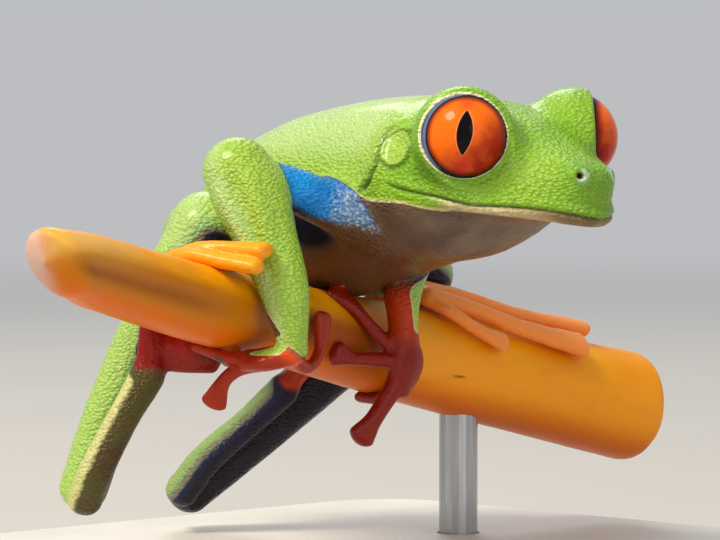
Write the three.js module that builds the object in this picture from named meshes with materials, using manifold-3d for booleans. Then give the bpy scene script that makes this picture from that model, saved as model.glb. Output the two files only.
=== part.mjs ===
// Red-eyed tree frog, life size, gripping a cut length of flower stem on a plain display stand.
// Units are millimetres, +Z is up, +X is the way the frog faces, +Y is the frog's left.
// Joint positions are written in a frog frame whose origin lies midway between the eyes;
// the whole model is then moved so that the origin is at the centre of the stand's underside.
import * as THREE from 'three';
import Module from 'manifold-3d';

const wasm = await Module();
wasm.setup();

// ---------------------------------------------------------------- driving sizes
const GAP = 0.3;                       // clearance kept between neighbouring solids
const EYE_BALL_R = 3.08;               // eyeball radius
const EYE_HALF_SPAN = 5.72;            // eyeball centre to the midline
const EYE_AXIS_DEG = 46;               // optic axis, outward from straight ahead
const EYE_X = -0.1;                    // eyeball centre along the heading
const EYE_LIFT = -0.12;                // eyeball centre height in the frog frame
const LID_R = 3.62;                    // radius of the orbit that carries the lid
const SOCKET_R = EYE_BALL_R + 0.2;     // bore of the eye socket
const EYE_AHEAD = 0.2;                 // eyeball centre ahead of the orbit's, along its axis
const SOCKET_BACK = 1.5;               // socket floor behind the eyeball centre
const EAR = { x: -5.0, y: 7.35, z: -0.95, r: 1.42, thick: 0.8 };
const NECK_X = -9.6;                   // parting between head and trunk
const EYE_TILT = 0.03;                 // rise of the optic axis above level
const BODY_SIDES = 20;
const TRUNK_STEP = 2.1;                // spacing of the body's rings behind the neck
const HEAD_STEP = 1.45;                // and ahead of it
const MUZZLE_X = 6.2;                  // the muzzle's closer rings start here
const MUZZLE_RINGS = [6.5, 7.05, 7.45];
const UNDER_POWER = 2.2;               // roundness of the body's lower half
const LIMB_SIDES = 8;
const DIGIT_SIDES = 6;
const BASE = { length: 60, width: 62, thick: 4, corner: 7, top: -30.9, x: -14, y: 0 };
const ROD = { r: 1.5, y: 13.5, sink: 2.0 };

const COLOUR = {
  green: '#8fc43a', blue: '#2a6fc0', orange: '#f08a1c', eye: '#e2470f',
  stem: '#f0a01c', stand: '#e9e6df', rod: '#c9ccd0', ear: '#9ccb4c', thigh: '#5fa05a',
};

// ---------------------------------------------------------------- small maths helpers
const vec = (p) => new THREE.Vector3(p[0], p[1], p[2]);

// Smooth value from a table of [position, value] stations.
function table(rows) {
  const slope = rows.map((row, i) => {
    const a = rows[Math.max(0, i - 1)];
    const b = rows[Math.min(rows.length - 1, i + 1)];
    return (b[1] - a[1]) / (b[0] - a[0]);
  });
  return (x) => {
    let i = 0;
    while (i < rows.length - 2 && x > rows[i + 1][0]) i += 1;
    const [x0, v0] = rows[i];
    const [x1, v1] = rows[i + 1];
    const h = x1 - x0;
    const t = Math.min(1, Math.max(0, (x - x0) / h));
    const t2 = t * t;
    const t3 = t2 * t;
    return (2 * t3 - 3 * t2 + 1) * v0 + (t3 - 2 * t2 + t) * h * slope[i]
      + (3 * t2 - 2 * t3) * v1 + (t3 - t2) * h * slope[i + 1];
  };
}

// Closed solid from rings of equal count with a pole point at each end.
function ringSolid(rings, poleA, poleB) {
  const n = rings[0].length;
  const position = [];
  const index = [];
  position.push(...poleA);
  for (const ring of rings) for (const p of ring) position.push(...p);
  position.push(...poleB);
  const at = (r, i) => 1 + r * n + (i % n);
  const last = 1 + rings.length * n;
  for (let i = 0; i < n; i += 1) {
    index.push(0, at(0, i + 1), at(0, i));
    index.push(last, at(rings.length - 1, i), at(rings.length - 1, i + 1));
  }
  for (let r = 0; r < rings.length - 1; r += 1) {
    for (let i = 0; i < n; i += 1) {
      index.push(at(r, i), at(r, i + 1), at(r + 1, i + 1));
      index.push(at(r, i), at(r + 1, i + 1), at(r + 1, i));
    }
  }
  const geometry = new THREE.BufferGeometry();
  geometry.setAttribute('position', new THREE.Float32BufferAttribute(position, 3));
  geometry.setIndex(index);
  return geometry;
}

// A limb: elliptical rings along a smooth path, rounded at both ends.
// widths are [across, thick] half sizes at each path point; up sets the thick direction.
function limb({ path, widths, up = [0, 0, 1], sides = LIMB_SIDES, steps = path.length > 4 ? 1 : 2,
  caps = [1, 1], grow = 0 }) {
  const curve = new THREE.CatmullRomCurve3(path.map(vec), false, 'centripetal');
  const spans = path.length - 1;
  const rows = (k) => table(widths.map((w, i) => [i, w[k]]));
  const across = rows(0);
  const thick = rows(1);
  const upAt = Array.isArray(up[0])
    ? [0, 1, 2].map((k) => table(up.map((u, i) => [i, u[k]])))
    : null;
  const frame = (t) => {
    const tangent = curve.getTangent(t).normalize();
    const ref = upAt ? new THREE.Vector3(...upAt.map((f) => f(t * spans))) : vec(up);
    const side = new THREE.Vector3().crossVectors(tangent, ref).normalize();
    const top = new THREE.Vector3().crossVectors(side, tangent).normalize();
    return { centre: curve.getPoint(t), tangent, side, top };
  };
  const ring = (f, shift, a, b) => {
    const out = [];
    for (let i = 0; i < sides; i += 1) {
      const w = (i / sides) * Math.PI * 2;
      const p = f.centre.clone().addScaledVector(f.tangent, shift)
        .addScaledVector(f.side, a * Math.cos(w)).addScaledVector(f.top, b * Math.sin(w));
      out.push([p.x, p.y, p.z]);
    }
    return out;
  };
  const rings = [];
  const capSteps = sides > DIGIT_SIDES ? 2 : 1;
  const end = (t, sign, cap) => {
    const f = frame(t);
    const a = across(t * spans) + grow;
    const b = thick(t * spans) + grow;
    const reach = Math.min(a, b) * cap + (cap < 0.5 ? grow : 0);
    const list = [];
    for (let k = 1; k <= capSteps; k += 1) {
      const w = (k / (capSteps + 1)) * Math.PI * 0.5;
      list.push(ring(f, sign * reach * Math.cos(w), a * Math.sin(w), b * Math.sin(w)));
    }
    const pole = f.centre.clone().addScaledVector(f.tangent, sign * reach);
    return { list, pole: [pole.x, pole.y, pole.z] };
  };
  const start = end(0, -1, caps[0]);
  const finish = end(1, 1, caps[1]);
  rings.push(...start.list);
  const count = spans * steps;
  for (let i = 0; i <= count; i += 1) {
    const t = i / count;
    rings.push(ring(frame(t), 0, across(t * spans) + grow, thick(t * spans) + grow));
  }
  rings.push(...finish.list.reverse());
  return ringSolid(rings, start.pole, finish.pole);
}

// ---------------------------------------------------------------- solids
function toSolid(geometry) {
  const pos = geometry.getAttribute('position');
  const idx = geometry.getIndex();
  const keys = new Map();
  const verts = [];
  const remap = [];
  for (let i = 0; i < pos.count; i += 1) {
    const key = [pos.getX(i), pos.getY(i), pos.getZ(i)].map((v) => Math.round(v * 1e4)).join();
    if (!keys.has(key)) {
      keys.set(key, verts.length / 3);
      verts.push(pos.getX(i), pos.getY(i), pos.getZ(i));
    }
    remap.push(keys.get(key));
  }
  const tris = [];
  const total = idx ? idx.count : pos.count;
  for (let i = 0; i < total; i += 3) {
    const t = [0, 1, 2].map((k) => remap[idx ? idx.getX(i + k) : i + k]);
    if (t[0] !== t[1] && t[1] !== t[2] && t[2] !== t[0]) tris.push(...t);
  }
  let volume = 0;
  for (let i = 0; i < tris.length; i += 3) {
    const [a, b, c] = [0, 1, 2].map((k) => new THREE.Vector3().fromArray(verts, tris[i + k] * 3));
    volume += a.dot(b.cross(c));
  }
  if (volume < 0) {
    for (let i = 0; i < tris.length; i += 3) [tris[i + 1], tris[i + 2]] = [tris[i + 2], tris[i + 1]];
  }
  const mesh = new wasm.Mesh({
    numProp: 3, vertProperties: new Float32Array(verts), triVerts: new Uint32Array(tris),
  });
  return new wasm.Manifold(mesh);
}

function toGeometry(solid) {
  const mesh = solid.getMesh();
  const geometry = new THREE.BufferGeometry();
  geometry.setAttribute('position', new THREE.Float32BufferAttribute(mesh.vertProperties, 3));
  geometry.setIndex(new THREE.Uint32BufferAttribute(mesh.triVerts, 1));
  geometry.computeVertexNormals();
  return geometry;
}

const union = (list) => list.reduce((a, b) => a.add(b));

function cylinderAlong(origin, axis, radius, from, to, sides = 18) {
  const geometry = new THREE.CylinderGeometry(radius, radius, to - from, sides);
  const turn = new THREE.Quaternion().setFromUnitVectors(new THREE.Vector3(0, 1, 0), axis);
  geometry.applyQuaternion(turn);
  const mid = origin.clone().addScaledVector(axis, (from + to) / 2);
  geometry.translate(mid.x, mid.y, mid.z);
  return toSolid(geometry);
}

function ball(centre, radius, stretch = [1, 1, 1], wide = 14, high = 10) {
  const geometry = new THREE.SphereGeometry(radius, wide, high);
  geometry.scale(stretch[0], stretch[1], stretch[2]);
  geometry.translate(centre[0], centre[1], centre[2]);
  return toSolid(geometry);
}

// ---------------------------------------------------------------- head and trunk
const TAIL_X = -37.2;
const TIP_X = 7.8;
// Four outlines: the back, the underside with the throat behind the chin, and the flank's height and reach.
const TOP = table([[-37.2, -11.2], [-36.2, -8.9], [-34.4, -6.6], [-31, -3.85], [-26.5, -0.7],
  [-21.4, 1.3], [-15, 2.5], [-9, 2.95], [-3, 2.65], [-0.5, 2], [2, 0.95], [4.4, -0.7], [6.6, -1.95],
  [7.35, -2.5], [7.75, -3.15]]);
const BELLY = table([[-37.2, -12.3], [-36.2, -13.2], [-33, -13.9], [-28, -13.3], [-22, -12.1],
  [-16, -11.5], [-12, -10.5], [-8, -9.4], [-5, -8.9], [-3.2, -8], [-1.5, -6.45], [0.6, -5.8],
  [4, -6.05], [7.2, -6.45], [7.75, -6]]);
const FLANK_Z = table([[-37.2, -11.9], [-33, -9], [-28, -6.8], [-20, -5], [-12, -4.2], [-6, -3.7],
  [1.7, -5], [5, -5.4], [7.75, -5.4]]);
const FLANK_Y = table([[-37.2, 0.9], [-36.2, 2], [-34.4, 3.1], [-30, 4.9], [-25.5, 6.5], [-20, 7.7],
  [-15, 7.6], [-9, 7.6], [-5.9, 8.1], [-2, 7.75], [1, 6.75], [3, 5.6], [4.8, 4.2], [6, 3.05],
  [6.9, 2.15], [7.45, 1.45], [7.75, 0.8]]);
const UPPER_POWER = table([[-37.2, 2], [-9, 2.2], [-2, 2.15], [3, 2.1], [5, 2.6], [6.5, 3.1], [7.75, 3]]);

function bodyRing(x) {
  const out = [];
  const power = UPPER_POWER(x);
  for (let i = 0; i < BODY_SIDES; i += 1) {
    const w = (i / BODY_SIDES) * Math.PI * 2;
    const c = Math.cos(w);
    const s = Math.sin(w);
    const n = s > 0 ? power : UNDER_POWER;
    const y = Math.sign(c) * Math.abs(c) ** (2 / n) * FLANK_Y(x);
    const rise = s > 0 ? TOP(x) - FLANK_Z(x) : FLANK_Z(x) - BELLY(x);
    out.push([x, y, FLANK_Z(x) + Math.sign(s) * Math.abs(s) ** (2 / n) * rise]);
  }
  return out;
}

function bodySolid() {
  const xs = [];
  for (let x = TAIL_X; x < NECK_X - 2 * GAP; x += TRUNK_STEP) xs.push(x);
  for (let x = NECK_X - GAP; x < MUZZLE_X; x += HEAD_STEP) xs.push(x);
  xs.push(...MUZZLE_RINGS, TIP_X - 0.08);
  const poleA = [TAIL_X - 0.3, 0, -11.9];
  const poleB = [TIP_X, 0, -4.9];
  return toSolid(ringSolid(xs.map(bodyRing), poleA, poleB));
}

function slab(x0, x1) {
  const geometry = new THREE.BoxGeometry(x1 - x0, 60, 60);
  geometry.translate((x0 + x1) / 2, 0, -5);
  return toSolid(geometry);
}

const eyeAxis = (side) => {
  const w = THREE.MathUtils.degToRad(EYE_AXIS_DEG);
  return new THREE.Vector3(Math.cos(w), side * Math.sin(w), EYE_TILT).normalize();
};
const eyeCentre = (side) => new THREE.Vector3(EYE_X, side * EYE_HALF_SPAN, EYE_LIFT);

function eyeSolid(side) {
  const c = eyeCentre(side).addScaledVector(eyeAxis(side), EYE_AHEAD);
  const keep = cylinderAlong(c, eyeAxis(side), EYE_BALL_R + 0.5, -SOCKET_BACK - EYE_AHEAD + 0.2, 5);
  return ball([c.x, c.y, c.z], EYE_BALL_R, [1, 1, 1], 18, 10).intersect(keep);
}

const earAxis = (side) => new THREE.Vector3(-0.1, side, 0.34).normalize();
const earCentre = (side) => new THREE.Vector3(EAR.x, side * EAR.y, EAR.z);

function earSolid(side) {
  const profile = [[0, -EAR.thick], [EAR.r * 0.97, -EAR.thick], [EAR.r, -0.08], [EAR.r * 0.86, 0.12],
    [EAR.r * 0.6, 0.02], [0, -0.04]].map((p) => new THREE.Vector2(p[0], p[1]));
  const geometry = new THREE.LatheGeometry(profile, 10);
  geometry.applyQuaternion(new THREE.Quaternion().setFromUnitVectors(new THREE.Vector3(0, 1, 0), earAxis(side)));
  const c = earCentre(side);
  geometry.translate(c.x, c.y, c.z);
  return toSolid(geometry);
}

// ---------------------------------------------------------------- perch
const STEM_PATH = [[-7.8, -36.6, -8.4], [-9.6, -32, -9.2], [-13, -20.3, -11.6], [-15.7, -11, -13.2],
  [-18, 0, -15.3], [-18.9, 11, -17.5], [-18.2, 21, -19.6], [-16.8, 31, -21.8]];
const STEM_WIDTHS = [2.35, 2.5, 2.75, 2.95, 3.4, 3.8, 4.1, 4.4].map((r) => [r, r]);
const stemAxis = ['x', 'z'].map((key, k) => table(STEM_PATH.map((p) => [p[1], p[k * 2]])));
const stemRadius = table(STEM_PATH.map((p, i) => [p[1], STEM_WIDTHS[i][0]]));

// Point on the stem's skin: y along it, angle round it (0 front, 90 top, 180 back), height above it.
function onStem(y, angle, lift) {
  const lead = (stemAxis[0](y + 0.5) - stemAxis[0](y - 0.5));
  const front = new THREE.Vector3(1, -lead, 0).normalize();
  const w = THREE.MathUtils.degToRad(angle);
  const reach = stemRadius(y) + lift;
  return [stemAxis[0](y) + front.x * Math.cos(w) * reach, y + front.y * Math.cos(w) * reach,
    stemAxis[1](y) + Math.sin(w) * reach];
}

// The thin end is cut aslant: above the axis it runs further out, below it falls back.
const TIP_SLANT = 0.42;                // millimetres along the stem for each millimetre of height
const TIP_FROM = -32.5;                // the slant starts here and is whole at the first station
function slanted(geometry) {
  const pos = geometry.getAttribute('position');
  for (let i = 0; i < pos.count; i += 1) {
    const y = pos.getY(i);
    const share = THREE.MathUtils.smoothstep(TIP_FROM - y, 0, TIP_FROM - STEM_PATH[0][1]);
    pos.setY(i, y - TIP_SLANT * (pos.getZ(i) - stemAxis[1](y)) * share);
  }
  return geometry;
}

const stem = (grow = 0) => toSolid(slanted(limb({
  path: STEM_PATH, widths: STEM_WIDTHS, sides: 14, steps: 1, caps: [0.6, 0.12], grow,
})));

// ---------------------------------------------------------------- limbs
// Each limb part is a list of swept pieces; grow makes the slightly fatter copy that cuts its neighbour.
const DIGIT = [[0.62, 0.55], [0.55, 0.5], [0.56, 0.48], [0.92, 0.5]];
const digit = (path, up, size = 1) => ({
  path, up, sides: DIGIT_SIDES, steps: 1, widths: path.map((_, i) => {
    const w = DIGIT[i === path.length - 1 ? 3 : Math.min(i, 2)];
    return [w[0] * size, w[1] * size];
  }),
});

const PIECES = {
  upper_arm_right: [{ path: [[-8.6, -5.2, -6.2], [-10.9, -7.8, -5.3], [-12.6, -10.4, -3.9], [-14, -12.9, -3.1]],
    widths: [[2.5, 2.3], [2, 1.75], [1.8, 1.6], [1.6, 1.5]] }],
  forearm_right: [{ path: [[-14.4, -14.25, -2.5], [-13.15, -13.95, -4.7], [-11.8, -13.7, -7.6], [-10.1, -13.6, -11.2],
    [-9.7, -13.4, -14], [-9.7, -13.2, -15]],
  widths: [[2.5, 2.4], [2.65, 2.35], [2.2, 1.95], [1.75, 1.45], [1.2, 1.2], [1.05, 1.1]], up: [1, -1, 0.3] }],
  hand_right: [
    { path: [[-9.9, -13.3, -15.5], [-11.3, -14.2, -15.9], [-12.6, -15, -16]],
      widths: [[1.2, 0.85], [1.75, 0.8], [1.6, 0.7]], up: [0.35, 0, 1], sides: 8, steps: 1 },
    digit([[-12.2, -15.7, -15.9], [-13.3, -16.2, -15.8], [-14.5, -16.7, -15.4], [-15.4, -17.1, -15]], [0.2, 0, 1]),
    digit([[-12.3, -14.7, -16.1], [-13.2, -14.6, -16.3], [-14.2, -14.3, -16.3], [-15.2, -14, -16.2]], [0.2, 0, 1]),
    digit([[-11.9, -14.7, -16.2], [-13, -15.6, -16.7], [-13.8, -16.2, -17.6], [-14.3, -16.6, -19]], [0.8, -0.6, 0.3]),
    digit([[-10.4, -12.6, -15.8], [-11.6, -9.9, -16.7], [-12.4, -8, -15.7], [-12.7, -7.3, -13.2]], [1, 0, -0.5], 0.92),
  ],
  upper_arm_left: [{ path: [[-8.6, 5.2, -6.2], [-11.4, 7.6, -5], [-14, 9.4, -3.7], [-15.8, 10.4, -2.9]],
    widths: [[2.5, 2.3], [2, 1.75], [1.8, 1.6], [1.9, 1.8]] }],
  forearm_left: [{ path: [[-16.4, 10.4, -3], [-15.9, 8.1, -4.8], [-14.9, 5, -7.8], [-13.9, 2.4, -11],
    [-13.1, 1.4, -13.6], [-12.9, 1.2, -14.6]],
  widths: [[2.4, 2.3], [2.5, 2.2], [2, 1.8], [1.55, 1.4], [1.1, 1.15], [1.05, 1.1]], up: [1, 0.6, 0.3] }],
  hand_left: [
    { path: [[-12.8, 1.3, -15.4], [-12.7, 1.3, -17], [-12.8, 0.6, -18.7]],
      widths: [[1.2, 0.9], [1.75, 0.85], [1.2, 0.75]], up: [1, 0, -0.3], sides: 8, steps: 1 },
    digit([[-12.8, 0.7, -18.2], [-12.9, -0.7, -19.7], [-13.2, -1.6, -21], [-13.7, -2.3, -22.2]], [1, 0, -0.2], 1.35),
    digit([[-12.9, 0.2, -16.7], [-13.4, -1.9, -16.5], [-13.8, -3.4, -16.4], [-13.9, -4.7, -16]], [1, 0, -0.2]),
    digit([[-13.1, 0.4, -16], [-13.9, -1.4, -14], [-14.5, -2.4, -12.7], [-15.6, -3.2, -11.6]], [1, 0, 0.6]),
    digit([[-13, 1.5, -16.9], [-14.6, 2.5, -18.7], [-17, 3, -19.8], [-18.9, 3.2, -19.8]],
      [[1, 0, -0.3], [0.7, 0, -0.8], [0, 0, -1], [0, 0, -1]]),
  ],
  thigh_right: [{ path: [[-30.6, -3, -8.8], [-27, -6.2, -7.9], [-22.4, -10.2, -7], [-17.4, -14.6, -6.3]],
    widths: [[2.9, 3.1], [3, 3.1], [2.7, 2.7], [2.3, 2.3]] }],
  shank_right: [{ path: [[-16.8, -15.4, -6.7], [-18.3, -16.6, -10.2], [-20.6, -18, -15.2], [-22.8, -19.3, -20.6],
    [-24.4, -20.2, -25.6]],
  widths: [[2.3, 2.2], [2.3, 2.1], [2.05, 1.85], [1.85, 1.65], [1.75, 1.6]], up: [1, -1, 0] }],
  tarsus_right: [{ path: [[-23.1, -21.2, -26.2], [-21.6, -21.5, -24.2], [-19.9, -20.6, -20.6], [-18.3, -19.4, -17.2]],
    widths: [[1.3, 1.2], [1.25, 1.1], [1.15, 1.05], [1.25, 1.1]], up: [1, -1, 0] }],
  foot_right: [
    { path: [[-18.2, -19.1, -16.4], [-18, -18.6, -13], [-17.5, -18.6, -10.6], [-16.6, -18.6, -9.2]],
      widths: [[1.3, 0.9], [1.6, 0.75], [1.7, 0.7], [1.6, 0.62]], up: [-1, 0, 0.3], sides: 8, steps: 1 },
    digit([[-16.7, -18.2, -8.9], [-14.4, -18.1, -8.1], [-12.2, -17.1, -8], [-9.9, -16, -8.1]], [0, 0, 1], 1.05),
    digit([[-16.7, -19.1, -9.1], [-14.4, -19.1, -8.45], [-12, -18.1, -8.85], [-9.8, -16.8, -9.2]], [0, 0, 1]),
    digit([[-16.9, -17.5, -9.1], [-15.5, -17, -8.8], [-14.3, -16.6, -8.9], [-13.4, -16.2, -9.2]], [0, 0, 1]),
    digit([[-17.6, -18.2, -10.6], [-18, -16.9, -10.3], [-18.3, -15.9, -10.5]], [-1, 0, 0.6]),
    { path: [[-18.3, -19, -15.3], [-17.4, -17.8, -15.4], [-16.4, -16.6, -15.7], [-15.6, -15.4, -16.1]],
      widths: [[1.3, 0.8], [1.5, 0.65], [1.35, 0.6], [1, 0.55]], up: [1, -1, 0], sides: 8, steps: 1 },
  ],
  thigh_left: [{ path: [[-30.6, 3, -8.8], [-28, 6.6, -8.6], [-24.8, 10, -9.5], [-21.6, 12.3, -10.4]],
    widths: [[2.9, 3.1], [3, 3.1], [2.7, 2.6], [2.2, 2.1]] }],
  shank_left: [{ path: [[-21.4, 12.4, -10.9], [-23.6, 10.6, -14], [-27.2, 7, -18.4], [-31.2, 3.2, -23.4],
    [-34.9, -0.3, -27.8]],
  widths: [[2.1, 2.1], [2.35, 2.2], [2.3, 2.1], [2, 1.8], [1.8, 1.65]], up: [1, -1, 0] }],
  tarsus_left: [{ path: [[-33.6, -2.2, -27.6], [-31.7, -1.4, -25.1], [-29.2, 0.6, -22.3], [-26.9, 2.2, -19.7]],
    widths: [[1.3, 1.2], [1.25, 1.1], [1.15, 1.05], [1.25, 1.1]], up: [1, -1, 0] }],
  foot_left: [
    { path: [[-26.5, 2.6, -19], [-24.8, 4.6, -16.2], [-22.4, 6.6, -13.4], [-19.6, 8.6, -12.4]],
      widths: [[1.3, 0.9], [1.6, 0.75], [1.7, 0.7], [1.6, 0.62]], up: [-0.6, -0.3, 1], sides: 8, steps: 1 },
    digit([onStem(9.2, 88, 1.5), onStem(13, 82, 1.5), onStem(18.5, 79, 1.05), onStem(25.4, 84, 1)], [0, 0, 1], 1.45),
    digit([onStem(8.6, 74, 1.2), onStem(12.5, 60, 1.2), onStem(17.5, 50, 1), onStem(23, 44, 1)], [0.6, 0, 0.7], 1.35),
    digit([onStem(8.9, 102, 1), onStem(12.4, 106, 0.95), onStem(16.5, 106, 0.95), onStem(20.6, 104, 0.95)],
      [-0.2, 0, 1], 1.15),
    digit([onStem(8.3, 84, 1.1), onStem(9.2, 54, 1), onStem(11.6, 36, 0.9), onStem(14.2, 28, 0.9)], [0.8, 0, 0.6]),
    digit([onStem(6.4, 128, 1.1), onStem(4.9, 138, 0.95), onStem(3.4, 142, 0.95)], [-0.8, 0, 0.6], 0.9),
  ],
};

const grown = (name, grow) => union(PIECES[name].map((piece) => toSolid(limb({ ...piece, grow }))));

// ---------------------------------------------------------------- put together
const body = bodySolid();
const orbits = [-1, 1].map((side) => {
  const c = eyeCentre(side);
  return ball([c.x, c.y, c.z], LID_R, [1.03, 1, 1]);
});
const sockets = [-1, 1].map((side) => cylinderAlong(eyeCentre(side), eyeAxis(side), SOCKET_R, -SOCKET_BACK, 6, 20));
const earWells = [-1, 1].map((side) => cylinderAlong(earCentre(side), earAxis(side), EAR.r + 0.2, -EAR.thick - 0.2, 3, 10));

const solids = {};
solids.perch_stem = stem();
const stemCut = stem(GAP);
solids.head = union([body, ...orbits]).subtract(union([...sockets, ...earWells])).intersect(slab(NECK_X + GAP / 2, 20));
solids.trunk = body.intersect(slab(-60, NECK_X - GAP / 2)).subtract(stemCut);
solids.eye_right = eyeSolid(-1);
solids.eye_left = eyeSolid(1);
solids.tympanum_right = earSolid(-1);
solids.tympanum_left = earSolid(1);

// Fatter copy of the body, for seating the limbs against it with a clearance.
function bodyCut() {
  const geometry = toGeometry(body);
  const pos = geometry.getAttribute('position');
  const normal = geometry.getAttribute('normal');
  for (let i = 0; i < pos.count; i += 1) {
    pos.setXYZ(i, pos.getX(i) + GAP * normal.getX(i), pos.getY(i) + GAP * normal.getY(i),
      pos.getZ(i) + GAP * normal.getZ(i));
  }
  return toSolid(geometry);
}
const bodyFat = bodyCut();

for (const side of ['right', 'left']) {
  const cut = (name, others) => others.reduce((s, o) => s.subtract(o), grown(name, 0));
  solids[`upper_arm_${side}`] = cut(`upper_arm_${side}`, [bodyFat]);
  solids[`forearm_${side}`] = cut(`forearm_${side}`, [bodyFat, grown(`upper_arm_${side}`, GAP), stemCut]);
  solids[`hand_${side}`] = cut(`hand_${side}`, [grown(`forearm_${side}`, GAP), stemCut]);
  solids[`thigh_${side}`] = cut(`thigh_${side}`, [bodyFat, stemCut, grown(`forearm_${side}`, GAP)]);
  solids[`shank_${side}`] = cut(`shank_${side}`, [grown(`thigh_${side}`, GAP), stemCut, grown(`forearm_${side}`, GAP)]);
  solids[`tarsus_${side}`] = cut(`tarsus_${side}`, [grown(`shank_${side}`, GAP), stemCut, bodyFat]);
  solids[`foot_${side}`] = cut(`foot_${side}`, [grown(`tarsus_${side}`, GAP), grown(`shank_${side}`, GAP),
    grown(`forearm_${side}`, GAP), grown(`thigh_${side}`, GAP), grown(`hand_${side}`, GAP), stemCut, bodyFat]);
}

// ---------------------------------------------------------------- stand
function baseSolid() {
  const { length, width, corner } = BASE;
  const x = length / 2;
  const y = width / 2;
  const shape = new THREE.Shape();
  shape.moveTo(-x + corner, -y);
  shape.lineTo(x - corner, -y);
  shape.absarc(x - corner, -y + corner, corner, -Math.PI / 2, 0);
  shape.lineTo(x, y - corner);
  shape.absarc(x - corner, y - corner, corner, 0, Math.PI / 2);
  shape.lineTo(-x + corner, y);
  shape.absarc(-x + corner, y - corner, corner, Math.PI / 2, Math.PI);
  shape.lineTo(-x, -y + corner);
  shape.absarc(-x + corner, -y + corner, corner, Math.PI, Math.PI * 1.5);
  const geometry = new THREE.ExtrudeGeometry(shape, {
    depth: BASE.thick - 0.8, bevelEnabled: true, bevelThickness: 0.4, bevelSize: 0.4, bevelOffset: -0.4,
    bevelSegments: 1, curveSegments: 3,
  });
  geometry.translate(BASE.x, BASE.y, BASE.top - BASE.thick + 0.4);
  return toSolid(geometry);
}
const rodX = stemAxis[0](ROD.y);
const rodTop = stemAxis[1](ROD.y) - stemRadius(ROD.y) + ROD.sink;
const rodFoot = BASE.top - ROD.sink;
const zAxis = new THREE.Vector3(0, 0, 1);
const rodOrigin = new THREE.Vector3(rodX, ROD.y, 0);
const rodHole = (from, to) => cylinderAlong(rodOrigin, zAxis, ROD.r + 0.2, from, to, 16);
solids.stand_base = baseSolid().subtract(rodHole(rodFoot - 0.2, 0));
solids.stand_rod = cylinderAlong(rodOrigin, zAxis, ROD.r, rodFoot, rodTop, 16);
solids.perch_stem = solids.perch_stem.subtract(rodHole(-60, rodTop + 0.2));

// ---------------------------------------------------------------- scene graph
const LOOK = {
  perch_stem: [COLOUR.stem, 0.45], stand_base: [COLOUR.stand, 0.5], stand_rod: [COLOUR.rod, 0.3, 0.9],
  eye_right: [COLOUR.eye, 0.1], eye_left: [COLOUR.eye, 0.1],
  tympanum_right: [COLOUR.ear, 0.45], tympanum_left: [COLOUR.ear, 0.45],
  upper_arm_right: [COLOUR.blue, 0.45], upper_arm_left: [COLOUR.blue, 0.45],
  hand_right: [COLOUR.orange, 0.45], hand_left: [COLOUR.orange, 0.45],
  foot_right: [COLOUR.orange, 0.45], foot_left: [COLOUR.orange, 0.45],
  thigh_right: [COLOUR.thigh, 0.45], thigh_left: [COLOUR.thigh, 0.45],
};

const frog = new THREE.Group();
frog.position.set(-BASE.x, -BASE.y, BASE.thick - BASE.top);
for (const [name, solid] of Object.entries(solids)) {
  const [color, roughness, metalness] = LOOK[name] ?? [COLOUR.green, 0.45];
  const material = new THREE.MeshStandardMaterial({ color, roughness, metalness: metalness ?? 0 });
  const mesh = new THREE.Mesh(toGeometry(solid), material);
  mesh.name = name;
  frog.add(mesh);
}
const model = new THREE.Group();
model.add(frog);

export default model;
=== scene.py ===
# %% [markdown]
# # Red-eyed tree frog on a flower stem, as a museum model
# The frog is one soft skin over a known skeleton of shapes, two glass-like eyes, a cut length of
# flower stem and a plain stand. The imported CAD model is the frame, so everything is placed in
# its coordinates. A modeller could sculpt the frog by hand, but a script can't sculpt, so here
# the flesh is written as a distance field: a function that says how far a point is from the skin.

# %% Load the frame
import math
from functools import partial
from types import SimpleNamespace

import bmesh
import bpy
import numpy as np
import openvdb
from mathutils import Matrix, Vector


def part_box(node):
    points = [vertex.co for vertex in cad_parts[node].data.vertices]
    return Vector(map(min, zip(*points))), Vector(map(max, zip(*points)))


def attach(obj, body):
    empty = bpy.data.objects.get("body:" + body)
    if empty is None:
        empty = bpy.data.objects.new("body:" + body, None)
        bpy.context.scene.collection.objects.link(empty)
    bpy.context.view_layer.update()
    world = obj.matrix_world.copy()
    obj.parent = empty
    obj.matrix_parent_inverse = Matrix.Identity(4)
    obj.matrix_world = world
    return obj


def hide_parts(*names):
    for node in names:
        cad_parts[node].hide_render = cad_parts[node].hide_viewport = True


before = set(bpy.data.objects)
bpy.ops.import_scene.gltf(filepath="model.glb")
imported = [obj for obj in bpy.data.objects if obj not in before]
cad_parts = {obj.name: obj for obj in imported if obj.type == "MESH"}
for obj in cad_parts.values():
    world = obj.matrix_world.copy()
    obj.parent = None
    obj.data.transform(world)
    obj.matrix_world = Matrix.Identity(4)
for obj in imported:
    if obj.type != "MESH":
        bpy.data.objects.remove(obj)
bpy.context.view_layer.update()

# %% [markdown]
# ## Units and smooth tables
# The frog is drawn in millimetres about a point midway between its eyes: X is the way it faces,
# Y is its left, Z is up. `to_row` carries such points to the frame, in metres. Long smooth
# outlines, such as the back, are read from a few stations with a Hermite curve. A spline object
# could do the same, but a table can be asked for its value at any place, which a field needs.

# %% Units
MM = 0.001  # metres in a millimetre
PER_MM = 1000.0  # divided by millimetres, it is a texture's scale
BASE_TOP = -30.9  # top of the stand's base, in the frog's frame
BASE_THICK = (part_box("stand_base")[1].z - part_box("stand_base")[0].z) * PER_MM
SHIFT = np.array([14.0, 0.0, BASE_THICK - BASE_TOP])


def to_row(points):
    """Frog millimetres to metres in the frame."""
    return (np.asarray(points, float) + SHIFT) * MM


def unit(v):
    """The same direction, one long."""
    v = np.asarray(v, float)
    return v / np.linalg.norm(v, axis=-1, keepdims=True)


def mirrored(p):
    """The same points, with those on the right carried over to the left."""
    return np.stack([p[:, 0], np.abs(p[:, 1]), p[:, 2]], 1)


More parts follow.
